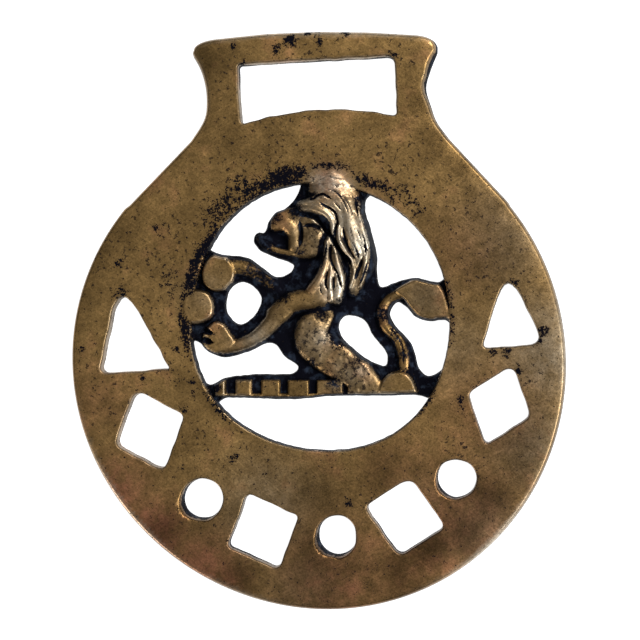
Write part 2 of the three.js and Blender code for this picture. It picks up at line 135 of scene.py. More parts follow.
# Ridges of the body: each stop gives x, y, half the width and the height of the crest.
BODY_RIDGES = {
    "fringe bed": (
        (3.2, 17.4, 2.0, 3.8), (0.6, 17.6, 1.7, 3.8), (-1.6, 17.6, 1.2, 3.5), (-2.9, 17.5, 0.8, 3.1),
    ),
    "mane crown": (
        (1.9, 22.6, 3.4, 3.1), (2.0, 19.6, 3.8, 3.6), (3.4, 16.0, 2.9, 3.9), (3.9, 13.6, 2.2, 3.8),
    ),
    "mane back": (
        (4.2, 19.6, 2.0, 3.2), (5.0, 15.4, 2.3, 3.9), (5.9, 11.6, 2.3, 4.1), (5.9, 8.4, 2.5, 3.6),
        (5.0, 5.6, 2.3, 3.1),
    ),
    "throat": (
        (1.6, 12.4, 0.8, 3.3), (1.9, 9.6, 1.5, 3.8), (1.6, 6.2, 2.2, 3.8), (0.2, 3.6, 2.2, 3.6),
    ),
    "shoulder": (
        (2.2, 4.2, 1.9, 3.4), (-0.8, 3.2, 1.8, 3.6), (-4.4, 2.4, 1.8, 3.5), (-6.6, 0.6, 1.8, 3.3),
    ),
    "near foreleg": (
        (-5.4, 1.4, 1.8, 3.3), (-7.6, -0.9, 1.5, 3.2), (-9.9, -2.9, 1.2, 3.0), (-12.6, -4.1, 1.1, 2.8),
        (-15.0, -4.6, 1.0, 2.7),
    ),
    "far foreleg": (
        (-6.4, 3.9, 1.2, 1.9), (-8.4, 6.2, 1.4, 2.2), (-11.0, 7.7, 1.3, 2.5), (-14.0, 8.1, 1.4, 2.7),
    ),
    "belly": (
        (0.6, 0.6, 1.9, 2.4), (-0.9, -1.4, 2.8, 2.9), (-0.9, -3.4, 3.0, 3.0), (1.2, -5.4, 3.0, 2.95),
        (4.2, -7.4, 2.8, 2.9), (6.8, -9.3, 2.4, 2.75), (8.6, -10.6, 1.6, 2.6),
    ),
    "tail stem": (
        (12.9, -8.6, 1.3, 2.1), (13.0, -5.8, 1.1, 2.4), (12.1, -3.2, 1.0, 2.4), (10.2, -1.2, 1.0, 2.4),
        (9.7, 1.2, 1.0, 2.4), (10.8, 3.1, 0.9, 2.4), (12.8, 3.9, 0.9, 2.5),
    ),
}

# Ridges with a flatter top than half an ellipse.
FULLNESS = {"belly": 4, "shoulder": 2.6, "near foreleg": 2.6}

# Locks of the mane and the features of the face, finer ridges that lie on those.
FINE_RIDGES = {
    "forelock": (
        (3.2, 18.6, 1.3, 3.85), (1.2, 18.7, 1.2, 3.85), (-0.8, 18.0, 1.0, 3.8), (-2.8, 17.7, 0.6, 3.4),
    ),
    "fringe": (
        (-2.7, 17.0, 0.7, 3.4), (-0.4, 16.9, 1.0, 3.8), (1.4, 15.9, 1.0, 3.95), (2.2, 14.4, 0.8, 4.0),
        (2.3, 12.6, 0.5, 3.8),
    ),
    "crown lock": (
        (4.3, 17.6, 1.6, 4.0), (4.9, 13.8, 1.4, 4.25), (5.9, 10.2, 0.9, 4.3),
    ),
    "middle lock": (
        (3.1, 14.2, 0.5, 4.0), (3.2, 12.2, 0.6, 4.2), (4.2, 10.2, 0.6, 4.2), (5.3, 8.4, 0.5, 3.9),
    ),
    "back lock": (
        (6.0, 16.0, 1.3, 3.9), (7.1, 11.4, 0.9, 4.0), (7.1, 7.8, 0.7, 3.8), (6.3, 5.0, 0.6, 3.2),
    ),
    "throat lock": (
        (1.3, 11.8, 0.6, 3.7), (1.2, 9.0, 0.8, 4.1), (0.3, 6.4, 1.0, 4.1), (-1.2, 4.2, 1.1, 3.8),
    ),
    "breast lock": (
        (2.4, 11.0, 0.5, 3.9), (2.9, 8.6, 0.9, 4.2), (3.3, 6.2, 1.1, 4.2), (2.7, 3.2, 1.2, 3.8),
    ),
    "short lock": (
        (1.9, 7.6, 0.4, 4.0), (1.8, 5.4, 0.6, 4.1), (1.9, 2.9, 0.7, 3.8),
    ),
    "inner lock": (
        (5.0, 9.2, 0.5, 4.0), (5.5, 7.2, 0.6, 3.8), (4.8, 4.8, 0.5, 3.3),
    ),
    "upper lip": (
        (-6.6, 14.5, 1.0, 2.5), (-5.0, 14.6, 1.6, 2.85), (-3.9, 13.2, 1.3, 2.85), (-4.0, 11.0, 1.0, 2.7),
    ),
    "lower jaw": (
        (-9.3, 12.4, 0.7, 2.1), (-8.3, 11.4, 0.9, 2.2), (-6.7, 10.6, 0.7, 2.2), (-4.4, 10.1, 0.6, 2.4),
        (-2.6, 9.9, 0.5, 2.4),
    ),
    "brow": (
        (-2.2, 15.2, 1.0, 2.8), (-0.9, 15.1, 1.0, 2.85),
    ),
    "cheek": (
        (-1.7, 12.5, 1.5, 2.8), (-0.6, 12.3, 1.8, 2.9),
    ),
}

# Flat-topped forms: level of the top, depth and width of the worn edge, and a closed smooth outline.
BOSSES = {
    "face": (2.55, 1.1, 0.8, (
        (-7.7, 14.8), (-6.7, 16.4), (-4.4, 17.2), (-0.6, 17.0), (1.6, 14.0), (1.2, 10.4), (-1.6, 9.2),
        (-4.3, 9.8), (-4.4, 12.6), (-5.6, 13.4), (-7.4, 13.5),
    )),
    "upper ball": (2.9, 1.0, 0.35, (
        (-16.4, 9.9), (-14.7, 9.7), (-13.2, 8.0), (-13.1, 6.4), (-14.2, 4.7), (-16.2, 4.2), (-17.8, 5.2),
        (-18.2, 7.2), (-17.5, 9.0),
    )),
    "lower ball": (3.14, 1.0, 0.5, (
        (-21.3, 2.2), (-20.7, 4.0), (-19.2, 4.5), (-17.2, 4.0), (-16.3, 2.4), (-16.5, 0.5), (-18.0, -0.6),
        (-20.2, -0.7), (-21.2, 0.6),
    )),
    "paw": (2.9, 1.0, 0.35, (
        (-17.2, -1.2), (-16.2, -0.4), (-15.0, -0.7), (-13.8, -2.1), (-13.0, -3.6), (-14.0, -4.8),
        (-16.0, -5.4), (-17.6, -4.9), (-18.2, -3.6), (-18.0, -2.2),
    )),
    "tail tuft": (2.8, 1.0, 0.4, (
        (11.6, 4.2), (13.4, 5.5), (15.4, 6.3), (17.4, 6.1), (18.8, 4.9), (19.8, 2.4), (20.1, -0.1),
        (18.0, -0.4), (15.9, -0.1), (14.2, 1.4), (13.0, 3.0),
    )),
    "heel": (2.8, 1.0, 0.4, (
        (9.1, -11.9), (9.6, -9.6), (10.6, -8.5), (12.3, -8.0), (13.8, -8.6), (14.8, -10.2), (15.0, -11.9),
    )),
}

# The bar under the lion: a low rail with raised blocks, from where to where along it.
# Each block is longer by the ease at both ends, because its worn edge takes that off its top.
BAR = dict(top=-9.4, bottom=-12.1, rail=1.7, face=2.6, ease=0.15, foot=2.25)
BAR_FOOT = ((-15.6, -12.1), (14.8, -12.1), (14.8, -11.5), (-15.6, -11.5))  # a strip along its lower edge
BAR_BLOCKS = ((-16.2, -14.7), (-12.9, -10.6), (-8.9, -6.2), (-4.8, -1.7), (-0.3, 3.5), (4.5, 8.9))

# Chased grooves: half the width, the depth, then the line they follow.
GROOVES = (
    (0.15, 0.5, ((-1.9, 18.5), (-0.9, 18.4), (-0.2, 18.9), (0.6, 19.1), (1.3, 18.8), (2.2, 18.2))),
    (0.10, 0.2, ((2.2, 18.2), (3.0, 17.2), (3.9, 16.2))),
    (0.16, 0.55, (
        (0.1, 18.0), (0.8, 17.4), (1.8, 16.9), (2.5, 16.3), (2.8, 15.4), (2.9, 14.6), (2.5, 13.5),
        (2.4, 12.4),
    )),
    (0.24, 0.75, (
        (-3.3, 16.3), (-1.6, 15.9), (-0.3, 15.3), (0.4, 14.4), (1.2, 13.4), (2.0, 12.6), (2.5, 11.6),
        (3.1, 10.6), (3.8, 9.8), (4.6, 9.0), (5.1, 8.0),
    )),
    (0.13, 0.35, ((-0.2, 16.1), (0.8, 15.6), (1.5, 14.7), (1.8, 13.6))),
    (0.13, 0.45, ((3.7, 14.2), (3.9, 13.2), (4.1, 12.0), (4.6, 10.8), (5.2, 9.8), (5.8, 8.8))),
    (0.14, 0.55, ((1.9, 12.0), (1.8, 10.4), (1.9, 9.0), (2.4, 7.8), (3.0, 6.8), (3.3, 5.6), (3.7, 4.4))),
    (0.13, 0.45, ((1.6, 7.8), (1.2, 6.4), (1.1, 5.2), (1.6, 4.0))),
    (0.13, 0.5, ((2.3, 6.9), (2.3, 5.4), (2.5, 4.2))),
    (0.14, 0.4, ((5.6, 18.8), (5.8, 17.0), (6.2, 15.2))),
    (0.14, 0.45, ((5.5, 11.3), (6.0, 10.0), (6.1, 9.0))),
    (0.12, 0.4, ((6.8, 11.6), (7.2, 10.6), (7.3, 9.4))),
    (0.18, 0.6, ((6.9, 9.7), (6.4, 8.2), (5.9, 7.0), (5.5, 5.8))),
    (0.12, 0.4, ((7.7, 9.0), (7.2, 7.6), (6.7, 6.2), (6.1, 5.0))),
    (0.12, 0.4, ((4.4, 8.6), (4.6, 7.4), (4.3, 6.2), (4.2, 5.0))),
    (0.22, 0.7, ((-3.1, 15.2), (-2.9, 14.2), (-2.8, 13.4), (-2.85, 12.2), (-3.1, 10.9))),
    (0.10, 0.1, ((-1.4, 21.4), (1.2, 21.7), (3.4, 21.3), (5.4, 21.6))),
    (0.10, 0.1, ((-0.8, 22.3), (1.6, 22.5), (4.2, 22.1))),
    (0.09, 0.1, ((-1.6, 20.5), (0.8, 20.8), (2.8, 20.5), (5.2, 20.7))),
    (0.22, 0.5, ((-2.7, 14.2), (-1.6, 14.35), (-0.4, 14.2), (0.4, 13.4))),
    (0.09, 0.16, ((3.0, 19.6), (4.2, 18.2), (5.0, 16.6), (5.4, 14.8))),
    (0.09, 0.18, ((0.8, 19.9), (2.6, 19.5), (3.6, 18.4), (4.3, 17.0), (4.7, 15.8))),
    (0.08, 0.16, ((6.4, 16.2), (7.0, 14.6), (7.3, 12.9))),
    (0.10, 0.25, ((6.5, 13.4), (7.0, 12.2), (7.3, 11.0), (7.9, 9.8))),
    (0.09, 0.2, ((5.0, 12.4), (5.6, 11.0), (6.3, 9.9))),
    (0.09, 0.2, ((2.9, 9.8), (3.5, 8.4), (3.9, 7.2), (4.0, 6.2))),
    (0.09, 0.2, ((0.2, 5.6), (0.3, 4.4), (0.8, 3.2))),
    (0.08, 0.14, ((1.4, 20.2), (3.0, 19.0), (4.2, 17.2), (4.8, 15.4))),
    (0.08, 0.14, ((4.6, 19.6), (5.6, 18.2), (6.3, 16.6), (6.8, 14.6))),
    (0.08, 0.16, ((4.7, 14.6), (5.1, 13.0), (5.6, 11.4))),
    (0.08, 0.16, ((5.6, 14.2), (6.3, 12.8), (6.6, 11.6))),
    (0.10, 0.3, ((1.4, 12.0), (1.1, 10.4), (0.7, 8.8), (0.2, 7.2))),
    (0.08, 0.2, ((0.6, 9.4), (-0.2, 7.8), (-0.9, 6.0))),
    (0.30, 1.2, ((-18.6, -1.6), (-17.4, -2.0), (-16.2, -2.4))),
    (0.30, 1.2, ((-18.7, -2.9), (-17.4, -3.4), (-16.2, -3.8))),
    (0.12, 0.3, ((10.2, -0.8), (11.6, -2.2), (12.6, -3.8), (13.0, -5.6), (13.0, -7.4))),
    (0.10, 0.25, ((9.2, -1.6), (10.8, -3.4), (11.7, -5.2), (12.0, -7.0))),
)

# Black crust on the ring: from angle to angle about the opening's centre, radius, half width, strength.
CRUSTS = (
    (94, 112, 22.3, 1.5, 0.95), (106, 124, 22.0, 1.5, 0.7), (112, 142, 22.6, 2.2, 0.56),
    (122, 150, 21.2, 0.8, 0.5), (76, 94, 23.4, 0.6, 0.8), (60, 78, 22.3, 1.0, 0.72),
    (44, 64, 22.6, 1.8, 0.42), (-30, -18, 27, 1.6, 0.3), (150, 190, 20.6, 1.2, 0.55),
    (-12, 20, 20.4, 0.6, 0.5), (-150, -128, 20.8, 0.8, 0.5), (-48, -30, 20.6, 0.8, 0.55),
    (196, 206, 24, 1.4, 0.3), (160, 176, 23.5, 2.5, 0.3), (136, 196, 20.7, 1.0, 1.0),
)
# Black spots on the ring: x, y from the disc's centre, radius, strength.
SPOTS = (
    (-30.8, 15.4, 0.9, 0.75), (-30.5, 10.7, 1.0, 0.9), (34.5, 4.6, 1.0, 0.95), (33.8, 3.4, 0.7, 0.8),
    (30.3, 12.0, 0.7, 0.8), (31.8, 9.6, 0.6, 0.7), (26.9, 1.6, 0.8, 0.8), (28.8, 1.7, 0.8, 0.8),
    (30.8, -1.2, 0.8, 0.8), (21.9, -5.6, 0.8, 0.8), (22.3, -7.0, 0.6, 0.7), (-27.0, -2.3, 0.7, 0.8),
    (-19.5, -3.0, 0.7, 0.7), (-19.1, -4.6, 0.7, 0.6), (-21.8, 2.0, 0.7, 0.7), (-20.6, -7.4, 0.6, 0.8),
    (-36.5, 1.8, 0.6, 0.8), (-13.0, -14.9, 0.8, 0.8), (-8.0, -17.4, 0.7, 0.6), (-20.8, -16.2, 0.6, 0.7),
    (-4.3, 49.4, 1.1, 1.1), (-6.2, 48.2, 0.9, 0.9), (0.3, 49.0, 0.8, 0.9), (-12.8, 48.5, 0.7, 0.8),
    (4.3, 50.6, 0.8, 0.9), (-1.5, 50.7, 0.7, 0.9), (-11.6, 45.5, 0.8, 0.9), (11.6, 47.0, 0.8, 0.9),
    (14.5, 45.4, 0.7, 0.6), (4.8, -21.7, 0.8, 0.75), (-23.0, 12.0, 0.9, 0.5), (-24.5, 20.5, 1.2, 0.45),
)
# Walls of the piercings and of the hanger darkened with painted shade: x, y from the disc's centre, radius,
# strength.
DARK_WALLS = (
    (-19.0, -22.0, 4.0, 1.2), (2.0, -28.0, 4.0, 1.2), (20.5, -18.5, 3.6, 1.2), (-12.5, -29.5, 3.5, 0.8),
    (11.5, -27.5, 4.0, 0.9), (14.5, -30.0, 3.0, 0.8), (25.5, -10.5, 3.0, 0.7), (32.0, -9.5, 2.5, 0.6),
    (-12.0, 44.5, 2.0, 1.0), (0.0, 46.5, 5.0, 0.5), (11.0, 46.5, 3.0, 0.9), (19.0, 45.0, 6.0, 1.0),
)
# Where the rim was polished, with a painted highlight on its worn edge: x, y from the disc's centre, radius,
# strength.
RIM_WEAR_AND_HIGHLIGHT = (
    (-31, -22, 12, 0.8), (-14, -36, 8, 0.4), (27, -27, 9, 0.85), (0, 51, 16, 0.6), (38, 2, 10, 0.25),
)
# Forms of the figure that stayed clean: x, y from the opening's centre, radius, strength.
CLEAN_PATCHES = ((-18.9, 1.9, 2.2, 1.6), (-15.6, 6.9, 2.4, 1.6), (0.2, 20.5, 2.0, 1.5), (3.2, 20.3, 2.2, 1.5))
# Places where dirt stayed on the figure: x, y from the opening's centre, radius, strength.
DIRT_PATCHES = (
    (-3.9, -1.6, 1.1, 0.55), (-3.6, -4.6, 1.3, 0.6), (-1.4, -7.2, 1.6, 0.7), (-16.4, -11.4, 1.2, 0.7),
    (1.2, -8.0, 1.2, 0.5), (-9.0, 6.8, 3.4, 0.7), (-7.2, 13.0, 1.0, 0.7), (-2.9, 10.3, 1.2, 0.6),
    (0.9, 12.8, 0.9, 0.6), (-6.2, 4.4, 2.4, 0.95), (-8.5, 11.8, 1.5, 1.2), (-6.8, 15.6, 1.3, 0.8),
    (-3.6, 16.6, 1.5, 0.8), (-5.8, 12.3, 1.2, 0.9), (3.3, -2.6, 2.2, 1.1), (-3.8, -6.0, 1.7, 0.7),
    (2.4, -9.8, 1.8, 0.6), (4.4, 1.8, 2.0, 0.8), (8.4, 4.6, 2.0, 0.8), (11.4, -2.6, 1.5, 0.4),
    (7.9, 7.0, 1.5, 0.5), (-16.0, -10.6, 1.0, 0.9), (0.4, 0.6, 1.5, 0.7), (-3.0, 0.2, 1.3, 0.5),
    (6.6, 20.4, 1.4, 0.6), (12.8, -5.6, 1.7, 0.5), (9.8, 0.6, 1.6, 0.75), (6.0, -6.4, 1.4, 0.6),
    (0.9, 10.4, 0.9, 0.5), (-0.6, 14.0, 0.8, 0.6), (1.0, -10.6, 1.0, 0.4),
)
# Places the figure was rubbed bright, painted highlights among them: x, y from the opening's centre, radius,
# strength.
RUBBED_AND_HIGHLIGHT_PATCHES = (
    (6.6, 11.4, 2.4, 0.85), (3.2, 15.4, 3.6, 0.4), (2.9, 4.8, 2.2, 0.95), (3.4, 7.0, 1.4, 0.8),
    (5.2, 13.6, 2.6, 0.5), (0.2, 20.8, 1.8, 0.45), (2.4, 20.8, 1.8, 0.5), (4.0, 20.3, 1.4, 0.4),
    (-10, -2.8, 1.6, 0.3), (0.8, -3.0, 1.3, 0.4), (6.4, -8.2, 1.2, 0.3), (-1.8, 18.0, 2.0, 0.35),
    (-4.6, 13.2, 3.2, -0.7), (-6.0, -11.0, 5.0, -0.5), (1.0, -11.0, 5.0, -0.5), (15.5, 3.0, 3.5, -0.7),
    (12.5, -5.0, 3.0, -0.7), (-9.5, 7.0, 3.0, -0.4), (-17.6, 5.5, 3.0, -0.3), (-15.6, -3.0, 2.5, -0.3),
)
# Pitted places on the figure: x, y from the opening's centre, radius, strength.
ROUGH_PATCHES = (
    (-0.8, -3.4, 3.6, 1.3), (5.2, -8.0, 3.4, 1.5), (-5.0, 3.2, 2.2, 0.5), (-9.6, 7.0, 3.4, 1.2),
    (-1.0, 12.4, 2.4, 1.0), (11.6, -3.0, 3.0, 0.8), (0.0, -11.0, 3.0, 0.6), (0.5, 22.6, 2.4, 0.5),
)
# Lighter and darker clouds of the patina, with painted shade along the right edge of the hanger's shoulder
# and a painted highlight on the rim's lower right: x, y from the disc's centre, radius, how much lighter.
TONE_PATCHES = (
    (0.5, -20, 6, -0.7), (0.5, -31, 9, -0.7), (13, -17, 5, -0.3), (17.5, 42, 6, -0.4),
    (17, -28.5, 5, -1.1), (22, -26, 5, -0.8), (26.5, -21, 5, -0.9), (-12, -33, 4, -0.9),
    (-22.8, -25.8, 4, -0.8), (-17.4, -29.7, 3, -0.4), (12.6, -31.2, 4, -0.9), (8, -34.3, 4, -0.5),
    (9.5, -16.6, 4, -0.7), (-16.6, 46.5, 4, -0.8), (15.6, 40.2, 2.4, -0.8), (18.6, 34.6, 2.6, -0.8),
    (22.8, 30.2, 2.6, -0.7), (27.4, 25.4, 2.6, -0.5), (31, -16.5, 5, -0.65), (-5.1, 20.1, 2, 0.4),
    (24, 32, 5, -0.45), (-17.4, -26.5, 8, -0.5), (31.5, -13, 7, -0.6), (24, -20, 8, -0.45),
    (12.5, -32, 6, -0.6), (36, 4.6, 5, 0.2), (-24, 4.6, 7, 0.35), (-30, -14, 6, 0.1), (-22, 17, 6, -0.3),
    (18, 27, 5, 0.15), (-14, -17, 5, 0.15), (20.5, -31.5, 2.5, 0.5), (28, -25.5, 2.5, 0.5),
    (14, 41, 6, -0.1), (-14, 41, 6, -0.15), (0, 49, 6, 0.1), (23, 16, 8, -0.35), (-1.8, 20.0, 3.8, -0.3),
    (16.6, 9.9, 3.6, -0.5), (12.3, -3.3, 2.4, -0.3), (-5, -4, 5, -0.2), (-0.3, 3.3, 3.0, 0.1),
    (5.4, -1.2, 3.8, -0.3), (-4.1, 9.5, 3, 0.3), (-7.7, 5.3, 3, 0.25), (-8.6, 14, 3.4, -0.4),
    (12, 4.5, 3.5, -0.3), (3.8, 20, 4, 0.2), (-18.6, 8.5, 2.5, 0.25), (-6, -4.2, 4, -0.3),
    (-14, 0, 5, -0.15), (-12.5, 33, 4, -0.4), (16, -17, 5, -0.3), (-33, 12, 5, -0.1),
)
# Coppery patches: x, y from the disc's centre, radius, strength.
COPPER_PATCHES = (
    (21, -24, 10, 0.7), (26, -8, 7, 0.5), (-31, -20, 5, 1.2), (-25.5, -26.5, 5, 1.6), (-18, -33, 6, 1.5),
    (3, -33, 9, 0.7), (1.8, 27.6, 2.6, 1.0), (22, 17, 6, 0.3), (13, -17, 6, 0.4), (-34, -6, 5, 0.4),
    (14, -33, 8, 0.5),
)
# Greyer patches: x, y from the disc's centre, radius, strength.
DULL_PATCHES = (
    (36, 2, 8, 1.0), (34, -12, 7, 0.7), (26, -26, 6, 0.6), (30, 20, 8, 0.5), (-8, -22, 7, 0.6),
    (-2, -34, 5, 0.4), (22, 2, 6, 0.4), (16, -22, 4, 0.3), (-0.3, 3.3, 4.5, 0.9), (5.4, -1.2, 4.5, 0.9),
    (-1.7, 19.7, 4, 0.6), (-8.7, 3.7, 5, 0.7), (3.5, 18, 6, 1.0), (-17, 10.5, 4, 0.4), (16.6, 9.9, 4, 0.6),
)
# Pitted places on the ring's face: x, y from the disc's centre, radius, strength.
PIT_PATCHES = (
    (-32, 16, 5, 0.8), (12, 30, 6, 0.8), (22, 24, 5, 0.6), (-18, -11, 4, 0.6), (20, -14, 4, 0.5),
    (-6, 31, 8, 0.6), (-12, 28, 6, 0.7), (-26, 6, 6, 0.6), (27, 14, 6, 0.5), (-2, 49, 5, 0.9),
    (-22, 18, 8, 0.6), (-32, -4, 6, 0.5), (28.5, 2, 3, 0.9), (32, -2, 3, 0.8), (-18, 24, 5, 0.5),
    (-13.5, 44, 3, 0.5), (12, 47, 3, 0.6), (8, -21, 2, 0.9), (-12, -14, 6, 0.5), (21, -14, 2.5, 0.9),
)


RIM_TRIM = 0.9997  # the finely drawn rim is this much smaller, so that its crests stay inside the solid's box
HOLE_WAVE = 0.1  # how uneven the piercings' outlines are, in millimetres
GAP_WAVE = 0.05  # and those of the gaps


class BrassSizes(bpy.types.PropertyGroup):
    """Sizes of the plate and the fineness of its mesh."""

    height: FloatProperty(name="Height", description="From the rim to the hanger's top edge",
                          default=0.089, unit="LENGTH")
    disc: FloatProperty(name="Disc", description="Diameter of the disc", default=0.0762, unit="LENGTH")
    thickness: FloatProperty(name="Thickness", description="Thickness of the ring",
                             default=0.003, unit="LENGTH")
    opening: FloatProperty(name="Opening", description="Diameter of the round opening",
                           default=0.0407, unit="LENGTH")
    web: FloatProperty(name="Web", description="Thickness of the web behind the lion",
                       default=0.0013, unit="LENGTH")
    wall: FloatProperty(name="Wall", description="Height of the straight wall above the back",
                        default=0.0009, unit="LENGTH")
    edge: FloatProperty(name="Worn edge", description="How far the worn edge leans in",
                        default=0.00055, unit="LENGTH")
    hair: FloatProperty(name="Hair step", description="Mesh step on the mane",
                        default=0.00014, unit="LENGTH")
    fine: FloatProperty(name="Fine step", description="Mesh step inside the opening",
                        default=0.00021, unit="LENGTH")
    coarse: FloatProperty(name="Coarse step", description="Mesh step on the ring",
                          default=0.0006, unit="LENGTH")
    seed: IntProperty(name="Seed", description="Seed of the cast surface's unevenness", default=7)


class BrassFinish(bpy.types.PropertyGroup):
    """Colours and wear of the brass."""

    patina: FloatVectorProperty(name="Patina", description="Aged face of the brass", subtype="COLOR",
                                size=3, min=0, max=1, default=(0.200, 0.119, 0.042))
    copper: FloatVectorProperty(name="Copper", description="Reddish patches of the patina", subtype="COLOR",
                                size=3, min=0, max=1, default=(0.240, 0.104, 0.052))
    dull: FloatVectorProperty(name="Dull", description="Greyer patches of the patina", subtype="COLOR",
                              size=3, min=0, max=1, default=(0.205, 0.155, 0.098))
    # Also the colour of the painted highlights on the figure and the rim.
    bright: FloatVectorProperty(name="Bright", description="Brass polished by wear", subtype="COLOR",
                                size=3, min=0, max=1, default=(0.62, 0.56, 0.45))
    # The crust's and the dirt's colour, also used for the painted shade on the walls.
    grime_and_shade: FloatVectorProperty(name="Grime", description="Crust and dirt in the recesses", subtype="COLOR",
                               size=3, min=0, max=1, default=(0.003, 0.003, 0.005))
    # A bluish painted reflection on parts of the dirt and of the shaded walls.
    painted_reflection: FloatVectorProperty(name="Sheen", description="Bluish gloss on parts of the dirt", subtype="COLOR",
                               size=3, min=0, max=1, default=(0.020, 0.027, 0.042))
    cloud_size: FloatProperty(name="Cloud size", description="Spacing of the patina's clouds",
                              default=0.006, unit="LENGTH")
    patch_size: FloatProperty(name="Patch size", description="Spacing of the patina's smaller patches",
                              default=0.0018, unit="LENGTH")
    speck_size: FloatProperty(name="Speck size", description="Spacing of the dark specks",
                              default=0.0007, unit="LENGTH")
    grit_size: FloatProperty(name="Grit size", description="Spacing of the finest grit",
                             default=0.00028, unit="LENGTH")
    pit_size: FloatProperty(name="Pit size", description="Spacing of the pits in the cast surface",
                            default=0.0005, unit="LENGTH")
    bump: FloatProperty(name="Bump", description="Height of the cast surface's grain",
                        default=0.00006, unit="LENGTH")


class BrassStage(bpy.types.PropertyGroup):
    """Camera and lights."""

    view_width: FloatProperty(name="View width", description="Width seen at the aim",
                              default=0.0985, unit="LENGTH")
    distance: FloatProperty(name="Distance", description="Camera to aim", default=0.35, unit="LENGTH")
    tilt: FloatProperty(name="Tilt", description="Camera's lean towards the right",
                        default=math.radians(5), unit="ROTATION")
    floor_size: FloatProperty(name="Floor", description="Side of the pale floor", default=1.6, unit="LENGTH")


def turned(points, degrees):
    """Points turned anticlockwise about the origin."""
    c, s = math.cos(math.radians(degrees)), math.sin(math.radians(degrees))
    return np.asarray(points, float) @ np.array([[c, s], [-s, c]])


def wavy_radius(angle, radius, waves):
    """Radius at an angle in radians: the mean plus one cosine for each wave."""
    return radius + sum(size * np.cos(count * (angle - math.radians(crest))) for count, size, crest in waves)


def wavy_arc(centre, radius, waves, start, stop, steps):
    """Points of a wavy circle from one angle to another, in degrees."""
    angle = np.radians(np.linspace(start, stop, steps, endpoint=False))
    reach = wavy_radius(angle, radius, waves)
    return np.column_stack((centre[0] + reach * np.cos(angle), centre[1] + reach * np.sin(angle)))


def smooth_line(stops, closed=False, per=10):
    """Centripetal Catmull-Rom curve through rows of numbers: a cubic between each pair, eased by the root of
    the distance to its neighbours."""
    p = np.asarray(stops, float)
    if closed:
        p = np.vstack((p[-1], p, p[:2]))
    else:
        p = np.vstack((2 * p[0] - p[1], p, 2 * p[-1] - p[-2]))
    gap = np.sqrt(np.maximum(np.linalg.norm(np.diff(p[:, :2], axis=0), axis=1), 1e-6))
    a, b, c, d = p[:-3], p[1:-2], p[2:-1], p[3:]
    ga, gb, gc = gap[:-2, None], gap[1:-1, None], gap[2:, None]
    leave = ((b - a) / ga - (c - a) / (ga + gb) + (c - b) / gb) * gb
    arrive = ((c - b) / gb - (d - b) / (gb + gc) + (d - c) / gc) * gb
    t = np.linspace(0, 1, per, endpoint=False)[None, :, None]
    b, c, leave, arrive = (q[:, None] for q in (b, c, leave, arrive))
    line = b + t * leave + t**2 * (3 * (c - b) - 2 * leave - arrive) + t**3 * (2 * (b - c) + leave + arrive)
    line = line.reshape(-1, p.shape[1])
    return line if closed else np.vstack((line, np.asarray(stops, float)[-1:]))


def respaced(loop, step):
    """A closed loop with points at even steps along it."""
    ring = np.vstack((loop, loop[:1]))
    run = np.concatenate(([0], np.cumsum(np.linalg.norm(np.diff(ring, axis=0), axis=1))))
    at = np.linspace(0, run[-1], max(8, int(run[-1] / step)), endpoint=False)
    return np.column_stack([np.interp(at, run, ring[:, k]) for k in (0, 1)])


def uneven_loop(loop, size, step):
    """A closed loop moved across its own direction by smooth random steps."""
    ahead = np.roll(loop, -1, 0) - np.roll(loop, 1, 0)
    across = np.column_stack((ahead[:, 1], -ahead[:, 0])) / np.linalg.norm(ahead, axis=1)[:, None]
    return loop + across * (size * unevenness(loop, step, 5))[:, None]


def bend(a, b, c, steps):
    """Quadratic curve from a to c that leans towards b."""
    t = np.linspace(0, 1, steps + 1)[:, None]
    a, b, c = (np.asarray(q, float) for q in (a, b, c))
    return (1 - t)**2 * a + 2 * t * (1 - t) * b + t**2 * c


def rounded(corners, cuts):
    """A polygon's corners, each cut back along both its sides and bridged by a curve."""
    c = np.asarray(corners, float)
    arcs = []
    for before, corner, after, cut in zip(np.roll(c, 1, 0), c, np.roll(c, -1, 0), cuts):
        start, stop = (corner + (q - corner) * cut / np.linalg.norm(q - corner) for q in (before, after))
        arcs.append(bend(start, corner, stop, 6))
    return arcs


